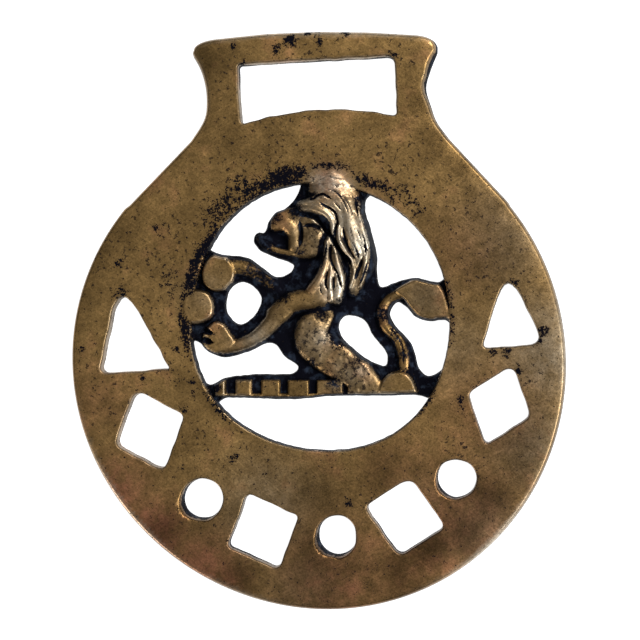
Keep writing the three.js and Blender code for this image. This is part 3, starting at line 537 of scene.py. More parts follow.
class Plan:
    """Outlines of the medallion in millimetres, with the middle of its box at the origin."""

    def __init__(self, sizes):
        self.radius = sizes.disc / MM / 2
        self.reach = sizes.height / MM - self.radius
        self.opening = sizes.opening / MM / 2
        self.scale = self.opening / DRAWN_RADIUS
        rim = self.rim() * RIM_TRIM
        self.shift = -(rim.min(0) + rim.max(0)) / 2
        self.centre = np.array(OPENING_CENTRE) + self.shift
        gaps = [self.gap(points) for points in GAPS.values()]
        holes = [self.slot()] + [self.piercing(*row) for row in PIERCINGS]
        self.loops = [respaced(rim + self.shift, 0.3)]
        self.loops += [uneven_loop(respaced(hole + self.shift, 0.22), HOLE_WAVE, 1.5) for hole in holes]
        self.loops += [uneven_loop(respaced(gap, 0.18), GAP_WAVE, 0.6) for gap in gaps]

    def side(self, side, shoulder, neck, bends, **_):
        """Straight off the disc, in to the neck and out to the corner."""
        angle = math.radians(shoulder)
        start = self.radius * np.array((side * math.cos(angle), math.sin(angle)))
        route = [(side * (neck + out), self.reach - down) for out, down in bends]
        return np.vstack((start, smooth_line(route, per=6)))

    def corner(self, side, neck, bends, run, drop, **_):
        """The top corner and its half of the top edge."""
        out, down = bends[-1]
        tip = (side * (neck + out), self.reach - down)
        edge = (tip[0] - side * run, self.reach - drop)
        outer = (tip[0] + side * CORNER_FULLNESS, self.reach - drop - TOP_CROWN)
        return np.vstack((bend(tip, outer, edge, 8)[1:], (edge[0] / 2, self.reach - drop / 4)))

    def rim(self):
        """Right side, top edge, left side, then round the disc."""
        right, left = HANGER_SIDES["right"], HANGER_SIDES["left"]
        top = np.vstack((self.corner(**right), (0, self.reach), self.corner(**left)[::-1]))
        disc = wavy_arc((0, 0), self.radius, RIM_WAVES, 180 - left["shoulder"], 360 + right["shoulder"], 240)
        return np.vstack((self.side(**right), top, self.side(**left)[::-1], disc[1:]))

    def slot(self):
        """A rectangle with an arched lower edge and a slight tilt."""
        upper, x = self.reach - SLOT["bar"], SLOT["width"] / 2
        lower = upper - SLOT["height"]
        arcs = rounded(((-x, lower), (x, lower), (x, upper), (-x, upper)), SLOT["cuts"])
        arch = bend(arcs[0][-1], (0, lower + 2 * SLOT["arch"]), arcs[1][0], 24)[1:-1]
        line = np.vstack([arcs[0], arch] + arcs[1:]) - (0, upper)
        return turned(line, SLOT["tilt"]) + (SLOT["aside"], upper)

    def piercing(self, kind, angle, inset, width, tall, turn, lean, cuts):
        """A round, square or wedge-shaped hole in its place on the disc."""
        reach, a = self.radius - inset, math.radians(angle)
        middle = np.array((reach * math.cos(a), reach * math.sin(a)))
        if kind == "round":
            return wavy_arc(middle, width / 2, ((2, 0.05, angle), (3, 0.04, 2 * angle)), 0, 360, 48)
        x, y = width / 2, tall / 2
        drawn = ((-x, -y), (x, -y), (0, y)) if kind == "wedge" else ((-x, -y), (x, -y), (x, y), (-x, y))
        leaning = [(px + py * lean, py) for px, py in drawn]
        return np.vstack(rounded(turned(leaning, turn), cuts)) + middle

    def gap(self, points):
        """A gap's smooth outline, drawn back to the opening wherever it passes it."""
        line = smooth_line(points, closed=True, per=16) * self.scale
        angle, reach = np.arctan2(line[:, 1], line[:, 0]), np.linalg.norm(line, axis=1)
        limit = wavy_radius(angle, self.opening, OPENING_WAVES)
        return line * np.minimum(1, limit / reach)[:, None] + self.centre


def boxed(points, line, reach):
    """Which points lie in the line's box or no further than reach from it."""
    low, high = line[:, :2].min(0) - reach, line[:, :2].max(0) + reach
    return np.flatnonzero(((points >= low) & (points <= high)).all(1))


def nearest(points, loops, reach):
    """Distance to the nearest of the closed loops, no further than reach, and the spot on it."""
    best, spot = np.full(len(points), float(reach)), points.copy()
    for loop in loops:
        start, along = loop, np.roll(loop, -1, 0) - loop
        for k in range(0, len(loop), 24):
            a, e = start[k:k + 24], along[k:k + 24]
            near = boxed(points, np.vstack((a, a + e)), reach)
            if not near.size:
                continue
            p = points[near][:, None]
            t = np.clip(((p - a) * e).sum(2) / np.maximum((e * e).sum(1), 1e-12), 0, 1)
            q = a + t[..., None] * e
            d = np.linalg.norm(p - q, axis=2)
            pick = d.argmin(1)
            row = np.arange(len(near))
            closer = d[row, pick] < best[near]
            best[near[closer]] = d[row, pick][closer]
            spot[near[closer]] = q[row, pick][closer]
    return best, spot


AT_ONCE = 4000000  # pairs of a point and a side that are compared in one go


def odd_crossings(points, a, b):
    """Even-odd rule: whether a line from each point to the right crosses an odd number of sides a to b."""
    rise = np.where(np.abs(b[:, 1] - a[:, 1]) < 1e-9, 1e-9, b[:, 1] - a[:, 1])
    odd = []
    for part in np.array_split(points, max(1, len(points) * len(a) // AT_ONCE)):
        x, y = part[:, :1], part[:, 1:]
        spans = (a[:, 1] > y) != (b[:, 1] > y)
        odd.append((spans & (x < (b[:, 0] - a[:, 0]) * (y - a[:, 1]) / rise + a[:, 0])).sum(1) % 2 == 1)
    return np.concatenate(odd)


def enclosed(points, loops):
    """Whether each point is in the metal: inside an odd number of the loops."""
    odd = np.zeros(len(points), bool)
    for loop in loops:
        near = boxed(points, loop, 0)
        odd[near] ^= odd_crossings(points[near], loop, np.roll(loop, -1, 0))
    return odd


def depth_in_metal(points, loops, reach=2.0):
    """How far each point lies inside the metal, negative outside it, and the nearest spot on the outline."""
    distance, spot = nearest(points, loops, reach)
    return np.where(enclosed(points, loops), distance, -distance), spot


def joined(a, b, blend):
    """The higher of two heights, eased where they are within the blend of each other."""
    h = np.maximum(blend - np.abs(a - b), 0) / blend
    return np.maximum(a, b) + h * h * blend / 4


def bounded(a, b, blend):
    """The lower of two heights, eased where they are close."""
    return -joined(-a, -b, blend)


LATTICE = (97, 89)  # knots of the random lattice before it repeats


def unevenness(points, step, seed):
    """Smooth random height between -1 and 1: random numbers on a square lattice, eased between its knots."""
    rng = np.random.RandomState(seed)
    table = rng.uniform(-1, 1, LATTICE)
    q = points / step
    cell = np.floor(q).astype(int)
    t = q - cell
    t = t * t * (3 - 2 * t)
    def knot(dx, dy):
        return table[(cell[:, 0] + dx) % LATTICE[0], (cell[:, 1] + dy) % LATTICE[1]]
    low = knot(0, 0) * (1 - t[:, 0]) + knot(1, 0) * t[:, 0]
    high = knot(0, 1) * (1 - t[:, 0]) + knot(1, 1) * t[:, 0]
    return low * (1 - t[:, 1]) + high * t[:, 1]


def along(points, line):
    """Distance to an open line of rows (x, y, ...), and the row's further numbers at the nearest spot."""
    a, e = line[:-1], np.diff(line, axis=0)
    away, way = points[:, None] - a[:, :2], e[:, :2]
    t = np.clip((away * way).sum(2) / np.maximum((way**2).sum(1), 1e-12), 0, 1)
    d = np.linalg.norm(away - t[..., None] * way, axis=2)
    pick, row = d.argmin(1), np.arange(len(points))
    return d[row, pick], (a[pick] + t[row, pick][:, None] * e[pick])[:, 2:], pick + t[row, pick]


SLOPE = 3.0  # how steeply a form falls away past its edge
BESIDE = 1.2  # how far past its edge a form is worked out, in millimetres
FAR = -9.0  # a height below everything, where a form doesn't reach


def ridge_height(points, stops, fullness=2):
    """Half an ellipse across the line, from half the crest at the edge up to the crest.
    A fuller one is flatter on top."""
    line = smooth_line(stops, per=8)
    near = boxed(points, line, line[:, 2].max() + BESIDE)
    z = np.full(len(points), FAR)
    if near.size:
        d, sizes, _ = along(points[near], line)
        half, crest = sizes[:, 0], sizes[:, 1]
        inside = np.sqrt(np.maximum(1 - (d / half)**fullness, 0))
        z[near] = crest / 2 + crest / 2 * inside - SLOPE * np.maximum(d - half, 0)
    return z


def boss_height(points, top, edge, worn, outline, smooth=True):
    """A flat top whose edge is a quarter ellipse, worn in by one size and down by the other."""
    loop = smooth_line(outline, closed=True, per=8) if smooth else np.asarray(outline, float)
    near = boxed(points, loop, BESIDE)
    z = np.full(len(points), FAR)
    if near.size:
        d, _ = depth_in_metal(points[near], [loop], 1.3)
        out = 1 - np.clip(d / worn, 0, 1)
        z[near] = top - edge * (1 - np.sqrt(1 - out**2)) + SLOPE * np.minimum(d, 0)
    return z


def groove_depth(points):
    """Depth of the chased lines: a bell curve across each one, narrower and shallower towards its ends."""
    cut = np.zeros(len(points))
    for half, depth, stops in GROOVES:
        line = smooth_line([(x, y, 0) for x, y in stops], per=6)
        near = boxed(points, line, 1)
        d, _, run = along(points[near], line)
        ends = np.clip(np.minimum(run, len(line) - 1 - run) / 4, 0.25, 1)
        cut[near] = np.maximum(cut[near], depth * ends * np.exp(-(d / (half * ends))**2))
    return cut


BLEND = dict(body=0.35, boss=0.2, lock=0.22, bar=0.15)  # how softly each kind of form joins the others
CAST_LUMPS = ((1.1, 0.1), (0.45, 0.05))  # the figure's cast surface: spacing and height of its lumps
SMOOTHEST = 0.35  # share of the lumps left where the figure isn't pitted


def figure_height(points, web, seed):
    """The web with the lion on it: forms joined one by one, then the grooves cut in."""
    z = np.full(len(points), web)
    for name, stops in BODY_RIDGES.items():
        z = joined(z, ridge_height(points, stops, FULLNESS.get(name, 2)), BLEND["body"])
    for top, edge, worn, outline in BOSSES.values():
        z = joined(z, boss_height(points, top, edge, worn, outline), BLEND["boss"])
    for stops in FINE_RIDGES.values():
        z = joined(z, ridge_height(points, stops), BLEND["lock"])
    def strip(start, stop):
        return ((start, BAR["bottom"]), (stop, BAR["bottom"]), (stop, BAR["top"]), (start, BAR["top"]))
    z = joined(z, boss_height(points, BAR["foot"], 0.5, 0.3, BAR_FOOT, smooth=False), BLEND["boss"])
    rail = strip(BAR_BLOCKS[0][0], BAR_BLOCKS[-1][1])
    z = joined(z, boss_height(points, BAR["rail"], 0.3, 0.3, rail, smooth=False), BLEND["bar"])
    for start, stop in BAR_BLOCKS:
        block = strip(start - BAR["ease"], stop + BAR["ease"])
        z = joined(z, boss_height(points, BAR["face"], 0.9, 0.25, block, smooth=False), BLEND["bar"])
    z -= groove_depth(points)
    pitted = np.minimum(patches(points, ROUGH_PATCHES), 1)
    rough = sum(size * unevenness(points, step, seed + k) for k, (step, size) in enumerate(CAST_LUMPS))
    return z + rough * (SMOOTHEST + (1 - SMOOTHEST) * pitted)


CROWN_RUN = 4.5  # how far the mane's crown may run out over the ring, in millimetres
ROLL = 2.8  # how far in from its outer rim the face starts to roll over, in millimetres
ROLL_DROP = 0.3  # how far it has dropped at the rim
FACE_WAVES = ((7.0, 0.035), (2.6, 0.02))  # the ring's face: spacing and height of its waves
INNER_EDGE = 0.36  # the worn edge of the holes, as a share of the rim's
CUT_WALL = (0.3, 5.0)  # a gap's wall: height at its foot and how steeply it rises


class Relief:
    """Height of the face above the flat back at any point, in millimetres."""

    def __init__(self, plan, sizes):
        self.plan, self.seed = plan, sizes.seed
        self.top, self.wall, self.edge, self.web = (
            v / MM for v in (sizes.thickness, sizes.wall, sizes.edge, sizes.web))

    def drawn(self, points):
        """Points in the figure's own frame, and how far inside the opening they lie."""
        q = points - self.plan.centre
        angle, reach = np.arctan2(q[:, 1], q[:, 0]), np.linalg.norm(q, axis=1)
        return q / self.plan.scale, wavy_radius(angle, self.plan.opening, OPENING_WAVES) - reach

    def height(self, points, depth):
        """The ring with its worn shoulders, the figure in its opening, and each gap's leaning wall."""
        drawn, within = self.drawn(points)
        from_rim, _ = nearest(points, self.plan.loops[:1], ROLL)
        at_rim = from_rim < depth + 0.01
        lip = patches(points - self.plan.shift, LIPS)
        ring_depth = np.minimum(depth, np.where(within > 0, 0, -within))
        worn = np.where(at_rim, self.edge, INNER_EDGE * self.edge)
        shoulder = np.clip(ring_depth / (worn + lip), 0, 1)
        conical = np.clip(2 * lip, 0, 1)
        face = self.top - ROLL_DROP * (1 - from_rim / ROLL)**2
        for k, (step, size) in enumerate(FACE_WAVES):
            face += size * unevenness(points, step, self.seed + 3 * k)
        rise = conical * shoulder + (1 - conical) * np.sqrt(1 - (1 - shoulder)**2)
        ring = self.wall + (face - self.wall) * rise
        z = np.where(within > 0, FAR, ring)
        near = np.flatnonzero(within > -CROWN_RUN)
        wall = CUT_WALL[0] + CUT_WALL[1] * np.maximum(depth[near], 0)
        figure = bounded(figure_height(drawn[near], self.web, self.seed), wall, 0.25)
        z[near] = joined(z[near], figure, 0.12)
        return z


def grid_lines(places, steps):
    """Coordinates from the first place to the last, with its own step between each place and the next."""
    runs = [np.linspace(a, b, max(2, int(math.ceil((b - a) / step)) + 1))[:-1]
            for a, b, step in zip(places, places[1:], steps)]
    return np.concatenate(runs + [places[-1:]])


SNAP = 0.28  # a grid point this share of a cell from the line moves onto it


def contour_mesh(xs, ys, field, settle):
    """Triangles where the field is positive, cut along its zero line. Grid points near the line move onto it,
    other sides that cross it get a point there, and each cell's points are joined as a fan."""
    gx, gy = np.meshgrid(xs, ys, indexing="ij")
    points = np.column_stack((gx.ravel(), gy.ravel()))
    value = field(points)
    cell = np.minimum(np.gradient(xs)[:, None], np.gradient(ys)[None, :]).ravel()
    on = np.abs(value) < SNAP * cell
    points[on] = settle(points[on])
    state = np.where(on, 0, np.sign(value)).astype(int)
    shape = gx.shape
    index = np.arange(points.shape[0]).reshape(shape)
    st, val = state.reshape(shape), value.reshape(shape)
    count = len(points)
    cuts, edges = [], []
    for a, b in ((index[:-1], index[1:]), (index[:, :-1], index[:, 1:])):
        crossing = state[a] * state[b] < 0
        t = (value[a] / np.where(crossing, value[a] - value[b], 1))[crossing][:, None]
        cuts.append(points[a[crossing]] * (1 - t) + points[b[crossing]] * t)
        number = np.full(a.shape, -1)
        number[crossing] = count + np.arange(crossing.sum())
        count += int(crossing.sum())
        edges.append(number)
    made = np.vstack(cuts)
    points = np.vstack((points, settle(made)))
    across, up = edges
    keep = np.where(st >= 0, index, -1)
    slots = np.stack((keep[:-1, :-1], across[:, :-1], keep[1:, :-1], up[1:, :],
                      keep[1:, 1:], across[:, 1:], keep[:-1, 1:], up[:-1, :]), axis=-1).reshape(-1, 8)
    corners = np.stack((st[:-1, :-1], st[1:, :-1], st[1:, 1:], st[:-1, 1:]), axis=-1).reshape(-1, 4)
    middle = (val[:-1, :-1] + val[1:, :-1] + val[1:, 1:] + val[:-1, 1:]).ravel()
    used = ((slots >= 0).sum(1) >= 3) & ((corners > 0).any(1) | (middle > 0))
    slots = slots[used]
    order = np.argsort(slots < 0, axis=1, kind="stable")
    slots = np.take_along_axis(slots, order, axis=1)
    size = (slots >= 0).sum(1)
    fans = [slots[size > k + 1][:, [0, k, k + 1]] for k in range(1, 7)]
    triangles = np.vstack(fans)
    wanted, flat = np.unique(triangles, return_inverse=True)
    return points[wanted], flat.reshape(-1, 3)


def rim_edges(triangles):
    """Directed sides that only one triangle has."""
    sides = np.vstack((triangles[:, [0, 1]], triangles[:, [1, 2]], triangles[:, [2, 0]]))
    big = triangles.max() + 1
    key = np.minimum(sides[:, 0], sides[:, 1]) * big + np.maximum(sides[:, 0], sides[:, 1])
    _, first, count = np.unique(key, return_index=True, return_counts=True)
    return sides[first[count == 1]]


BAND = (0.28, 0.53, 0.76, 0.93, 1.0)  # shares of the way from the face's flat to its outline
MANE = (-4.5, 8.8, 2.0, 22.4)  # the part with the finest mesh, from the opening's centre: x, x, y, y
UNDER_BAR = -12.4  # where the figure ends below, from the opening's centre
BACK_EDGE = 0.09  # small break of the back's edge, in millimetres
BAND_WIDTH = (0.3, 0.35)  # of the band along each outline: in the opening, and how much more on the ring


def cast_mesh(plan, relief, sizes):
    """The whole skin: the face on a grid, a band of rings round every outline, walls and a flat back."""
    hair, fine, coarse = sizes.hair / MM, sizes.fine / MM, sizes.coarse / MM
    rim = plan.loops[0]
    low, high = rim.min(0) - 0.4, rim.max(0) + 0.4
    cx, cy = plan.centre
    r = plan.opening + 0.9
    steps = (coarse, fine, hair, fine, coarse)
    xs = grid_lines((low[0], cx - r, cx + MANE[0], cx + MANE[1], cx + r, high[0]), steps)
    bar, mane_low, mane_high = cy + UNDER_BAR - 0.5, cy + MANE[2], cy + MANE[3]
    ys = grid_lines((low[1], bar, mane_low, mane_high, high[1]), (coarse, fine, hair, coarse))

    def margin(points):
        """How far in from the outline the band starts: narrow in the opening, wider on the ring."""
        q = (np.linalg.norm(points - plan.centre, axis=1) - plan.opening - 0.4) / 0.8
        lower = np.clip((cy + UNDER_BAR - points[:, 1]) / 1.5, 0, 1)
        return BAND_WIDTH[0] + BAND_WIDTH[1] * np.clip(np.maximum(q, lower), 0, 1)

    def field(points):
        depth, _ = depth_in_metal(points, plan.loops)
        return depth - margin(points)

    def settle(points):
        for _ in range(2):
            depth, spot = depth_in_metal(points, plan.loops)
            away = (points - spot) / np.maximum(np.abs(depth), 1e-6)[:, None] * np.sign(depth)[:, None]
            points = points - away * (depth - margin(points))[:, None]
        return points

    flat, triangles = contour_mesh(xs, ys, field, settle)
    edge = rim_edges(triangles)
    ring, slot_of = np.unique(edge, return_inverse=True)
    slot_of = slot_of.reshape(-1, 2)
    _, spot = depth_in_metal(flat[ring], plan.loops)
    depth, _ = depth_in_metal(flat, plan.loops)
    layers = [flat[ring] + (spot - flat[ring]) * s for s in BAND]
    levels = []
    gone = np.linalg.norm(spot - flat[ring], axis=1)
    for share, layer in zip(BAND, layers):
        levels.append(relief.height(layer, gone * (1 - share)))
    inward = (flat[ring] - spot) / np.maximum(gone, 1e-6)[:, None]
    layers += [spot, spot + inward * BACK_EDGE]
    levels += [np.full(len(ring), BACK_EDGE), np.zeros(len(ring))]

    coords = [np.column_stack((flat, relief.height(flat, depth)))]
    coords += [np.column_stack((layer, level)) for layer, level in zip(layers, levels)]
    faces = [triangles]
    n, m = len(flat), len(ring)
    before = edge
    for k in range(len(layers)):
        after = n + k * m + slot_of
        quads = np.column_stack((before[:, 1], before[:, 0], after[:, 0], after[:, 1]))
        faces += [quads[:, [0, 1, 2]], quads[:, [0, 2, 3]]]
        before = after
    first = n + (len(layers) - 1) * m
    lattice, back = back_mesh(plan, first, layers[-1], slot_of)
    coords += [np.column_stack((lattice, np.zeros(len(lattice))))]
    return np.vstack(coords), np.vstack(faces + [back])


BACK_STEP = 2.0  # spacing of the back's lattice, in millimetres


def back_mesh(plan, first, outline, sides):
    """The flat back: the last ring's corners and a loose lattice between them, joined by the Delaunay rule.
    Triangles whose middle is outside the sides are dropped; the corners are numbered from first on."""
    low, high = plan.loops[0].min(0), plan.loops[0].max(0)
    gx, gy = np.meshgrid(*(np.arange(a, b, BACK_STEP) for a, b in zip(low, high)), indexing="ij")
    lattice = np.column_stack((gx.ravel(), gy.ravel()))
    depth, _ = depth_in_metal(lattice, plan.loops)
    lattice = lattice[depth > BACK_STEP * 0.4]
    corners = np.vstack((outline, lattice)).astype(np.float32).astype(float)
    _, _, found, source, _, _ = delaunay_2d_cdt(corners.tolist(), sides.tolist(), [], 0, 1e-7)
    origin = np.array([group[0] for group in source])
    found = origin[np.array(found)]
    found = found[odd_crossings(corners[found].mean(1), corners[sides[:, 0]], corners[sides[:, 1]])]
    number = np.concatenate((first + np.arange(len(outline)), first + len(outline) + np.arange(len(lattice))))
    return lattice, number[found[:, ::-1]]


def put_mesh(name, coords, faces):
    """A mesh object from whole arrays of corners and triangles."""
    mesh = bpy.data.meshes.new(name)
    mesh.vertices.add(len(coords))
    mesh.vertices.foreach_set("co", (coords * MM).astype(np.float32).ravel())
    mesh.loops.add(faces.size)
    mesh.loops.foreach_set("vertex_index", faces.astype(np.int32).ravel())
    mesh.polygons.add(len(faces))
    mesh.polygons.foreach_set("loop_start", np.arange(0, faces.size, 3, dtype=np.int32))
    mesh.update(calc_edges=True)
    mesh.validate()
    obj = bpy.data.objects.new(name, mesh)
    bpy.context.scene.collection.objects.link(obj)
    return obj


def eased(value, low, high):
    """0 below low, 1 above high, smooth between."""
    t = np.clip((value - low) / (high - low), 0, 1)
    return t * t * (3 - 2 * t)


class Surroundings:
    """A square raster of the figure's heights: the highest and the mean level round each spot."""

    step = 0.2
    wide = 1.1  # radius of the disc for the highest level
    close = 0.5  # and of the one for the mean level

    def __init__(self, plan, relief):
        half = plan.opening + 2.4
        count = int(2 * half / self.step)
        self.low = plan.centre - half
        at = np.arange(count) * self.step
        gx, gy = np.meshgrid(self.low[0] + at, self.low[1] + at, indexing="ij")
        points = np.column_stack((gx.ravel(), gy.ravel()))
        depth, _ = depth_in_metal(points, plan.loops)
        metal = (depth > 0).astype(float)
        z = relief.height(points, np.maximum(depth, 0)) * metal
        self.shape = gx.shape
        z, metal = z.reshape(self.shape), metal.reshape(self.shape)
        self.top = self.over(z, self.wide, np.maximum)
        self.mean = self.over(z, self.close, np.add) / np.maximum(self.over(metal, self.close, np.add), 1)

    def over(self, field, radius, gather):
        """The field gathered over a disc about each spot."""
        reach = int(radius / self.step)
        total = field.copy()
        for dx in range(-reach, reach + 1):
            for dy in range(-reach, reach + 1):
                if (dx or dy) and math.hypot(dx, dy) * self.step <= radius:
                    total = gather(total, np.roll(field, (dx, dy), (0, 1)))
        return total

    def at(self, field, points):
        """The field between its four nearest spots."""
        q = np.clip((points - self.low) / self.step, 0, np.array(self.shape) - 1.001)
        i = q.astype(int)
        t = q - i
        a, b = field[i[:, 0], i[:, 1]], field[i[:, 0] + 1, i[:, 1]]
        c, d = field[i[:, 0], i[:, 1] + 1], field[i[:, 0] + 1, i[:, 1] + 1]
        return (a * (1 - t[:, 0]) + b * t[:, 0]) * (1 - t[:, 1]) + (c * (1 - t[:, 0]) + d * t[:, 0]) * t[:, 1]


def patches(points, rows):
    """Round clouds that fade outwards: the strongest one at each spot, each with its own sign."""
    up, down = np.zeros(len(points)), np.zeros(len(points))
    for x, y, radius, strength in rows:
        here = strength * np.exp(-((points - (x, y))**2).sum(1) / radius**2)
        up, down = np.maximum(up, here), np.minimum(down, here)
    return up + down


# Each share of dirt, wear and painted light rises smoothly from the first of two measures to the second, in
# millimetres.
IN_OPENING = (-0.35, 0.0)  # how far inside the opening
IN_RING_WALL = (-1.6, -1.2)  # how far inside the opening a wall counts as the opening's own
BELOW_TOPS = (0.3, 1.1)  # how far below the highest form near by
BELOW_MEAN = (0.04, 0.2)  # how far below the mean level close by
ABOVE_MEAN = (0.05, 0.25)
IN_GROOVE = (0.02, 0.16)  # how deep in a groove
IN_WALL = (0.0, 0.5)  # how far below the top of the walls
NEAR_RIM = (0.0, 0.9)  # how far out within the last millimetre
ROLLED = (1.0, 2.0)  # how far out on the rolled-over rim
RIM_LEVEL = (1.2, 2.0)  # height of the rim's worn edge, which carries a painted highlight
FACE_LEVEL = (1.9, 2.4)  # height of the forms that were rubbed and carry painted highlights
WALL_TOP = 2.3
WALL_SHADE = dict(hole=0.35, rim=0.42)  # share of painted shade on the walls where no patch adds any
CREST_WEAR = 0.3  # share of wear on the figure's crests


def masks(plan, relief, coords):
    """Shares for the shader: recess, wear_and_highlight, crust, copper, pits and grey from 0 to 1, and tone
    from -1 to 1.
    A recess lies below the highest form near it or below the mean round it and holds dirt, or is a groove, or
    is a wall that gets painted shade. Wear_and_highlight is polish and painted highlights; tone holds patina
    clouds and a little painted shade and highlight on the edges."""
    points, z = coords[:, :2], coords[:, 2]
    drawn, within = relief.drawn(points)
    around = Surroundings(plan, relief)
    inside = eased(within, *IN_OPENING)
    below = around.at(around.top, points) - z
    hollow = around.at(around.mean, points) - z
    shares = (eased(below, *BELOW_TOPS), eased(hollow, *BELOW_MEAN), eased(groove_depth(drawn), *IN_GROOVE),
              patches(drawn, DIRT_PATCHES))
    recess = np.maximum.reduce(shares) * inside
    from_disc = points - plan.shift
    from_rim, _ = nearest(points, plan.loops[:1], ROLL)
    # Painted shade on the walls of the holes and the rim goes into the recess share.
    wall_shade = np.maximum(eased(within, *IN_RING_WALL), WALL_SHADE["hole"] + patches(from_disc, DARK_WALLS))
    wall_shade = np.maximum(wall_shade, WALL_SHADE["rim"] * eased(ROLL - from_rim, *ROLLED))
    recess = np.maximum(recess, eased(WALL_TOP - z, *IN_WALL) * np.minimum(wall_shade, 1))
    # Wear on the crests and rubbed patches, with painted highlights among them, then polish and a painted
    # highlight on the rim.
    wear_and_highlight = CREST_WEAR * eased(-hollow, *ABOVE_MEAN) * inside + patches(drawn, RUBBED_AND_HIGHLIGHT_PATCHES)
    at_rim = eased(1.0 - from_rim, *NEAR_RIM) * eased(z, *RIM_LEVEL)
    wear_and_highlight = np.maximum(wear_and_highlight * eased(z, *FACE_LEVEL), patches(from_disc, RIM_WEAR_AND_HIGHLIGHT) * at_rim)

    middle = points - plan.centre
    angle = np.degrees(np.arctan2(middle[:, 1], middle[:, 0]))
    reach = np.linalg.norm(middle, axis=1)
    crust = np.zeros(len(points))
    for start, stop, radius, half, strength in CRUSTS:
        mid, span = (start + stop) / 2, (stop - start) / 2
        off = np.abs((angle - mid + 180) % 360 - 180) / span
        across = np.abs(reach - radius) / half
        crust = np.maximum(crust, strength * np.clip(1.5 - np.hypot(off**2, across), 0, 1))
    from_hole, _ = nearest(points, plan.loops[1:], 0.6)
    dull = np.maximum(patches(from_disc, DULL_PATCHES), eased(0.5 - from_hole, 0, 0.4))
    crust *= np.clip(1 - patches(drawn, CLEAN_PATCHES), 0, 1)
    crust = np.maximum(crust, patches(from_disc, SPOTS))
    return dict(recess=recess, wear_and_highlight=wear_and_highlight, crust=crust, copper=patches(from_disc, COPPER_PATCHES),
                pitted=np.maximum(patches(from_disc, PIT_PATCHES), patches(drawn, ROUGH_PATCHES) * inside),
                tone=patches(from_disc, TONE_PATCHES), dull=dull)


def node(tree, kind, settings=(), **inputs):
    """A shader node with its settings and inputs; an input is a value or another node's output."""
    made = tree.nodes.new(kind)
    for key, value in dict(settings).items():
        setattr(made, key, value)
    for key, value in inputs.items():
        numbered = key[0] == "i" and key[1:].isdigit()
        socket = made.inputs[int(key[1:]) if numbered else key.replace("_", " ")]
        if isinstance(value, bpy.types.NodeSocket):
            tree.links.new(value, socket)
        else:
            socket.default_value = value
    return made


def maths(tree, operation, a, b=0.0, clamp=False):
    """The output of a maths node."""
    return node(tree, "ShaderNodeMath", dict(operation=operation, use_clamp=clamp), i0=a, i1=b).outputs[0]


def span(tree, value, low, high, to_low=0.0, to_high=1.0):
    """A value carried from one range to another and kept inside it."""
    made = node(tree, "ShaderNodeMapRange", dict(clamp=True), Value=value)
    for key, number in (("From Min", low), ("From Max", high), ("To Min", to_low), ("To Max", to_high)):
        made.inputs[key].default_value = number
    return made.outputs[0]


def mixed(tree, share, a, b, blend="MIX"):
    """Two colours mixed by a share."""
    made = node(tree, "ShaderNodeMix", dict(data_type="RGBA", blend_type=blend))
    for slot, value in ((0, share), (6, a), (7, b)):
        if isinstance(value, bpy.types.NodeSocket):
            tree.links.new(value, made.inputs[slot])
        else:
            made.inputs[slot].default_value = value
    return made.outputs[2]


def noise(tree, where, size, detail=4.0, rough=0.55):
    """Cloudy noise whose lumps are of a size in metres."""
    settings = dict(Scale=1 / size, Detail=detail, Roughness=rough)
    return node(tree, "ShaderNodeTexNoise", Vector=where, **settings).outputs[0]


def new_group(name, inputs, outputs):
    """A shader group with its sockets, each a name, a kind and perhaps a default."""
    tree = bpy.data.node_groups.new(name, "ShaderNodeTree")
    for label, kind, default in inputs:
        socket = tree.interface.new_socket(label, in_out="INPUT", socket_type=kind)
        socket.default_value = default
    for label, kind in outputs:
        tree.interface.new_socket(label, in_out="OUTPUT", socket_type=kind)
    return tree, tree.nodes.new("NodeGroupInput").outputs, tree.nodes.new("NodeGroupOutput").inputs


FLOAT, COLOUR = "NodeSocketFloat", "NodeSocketColor"


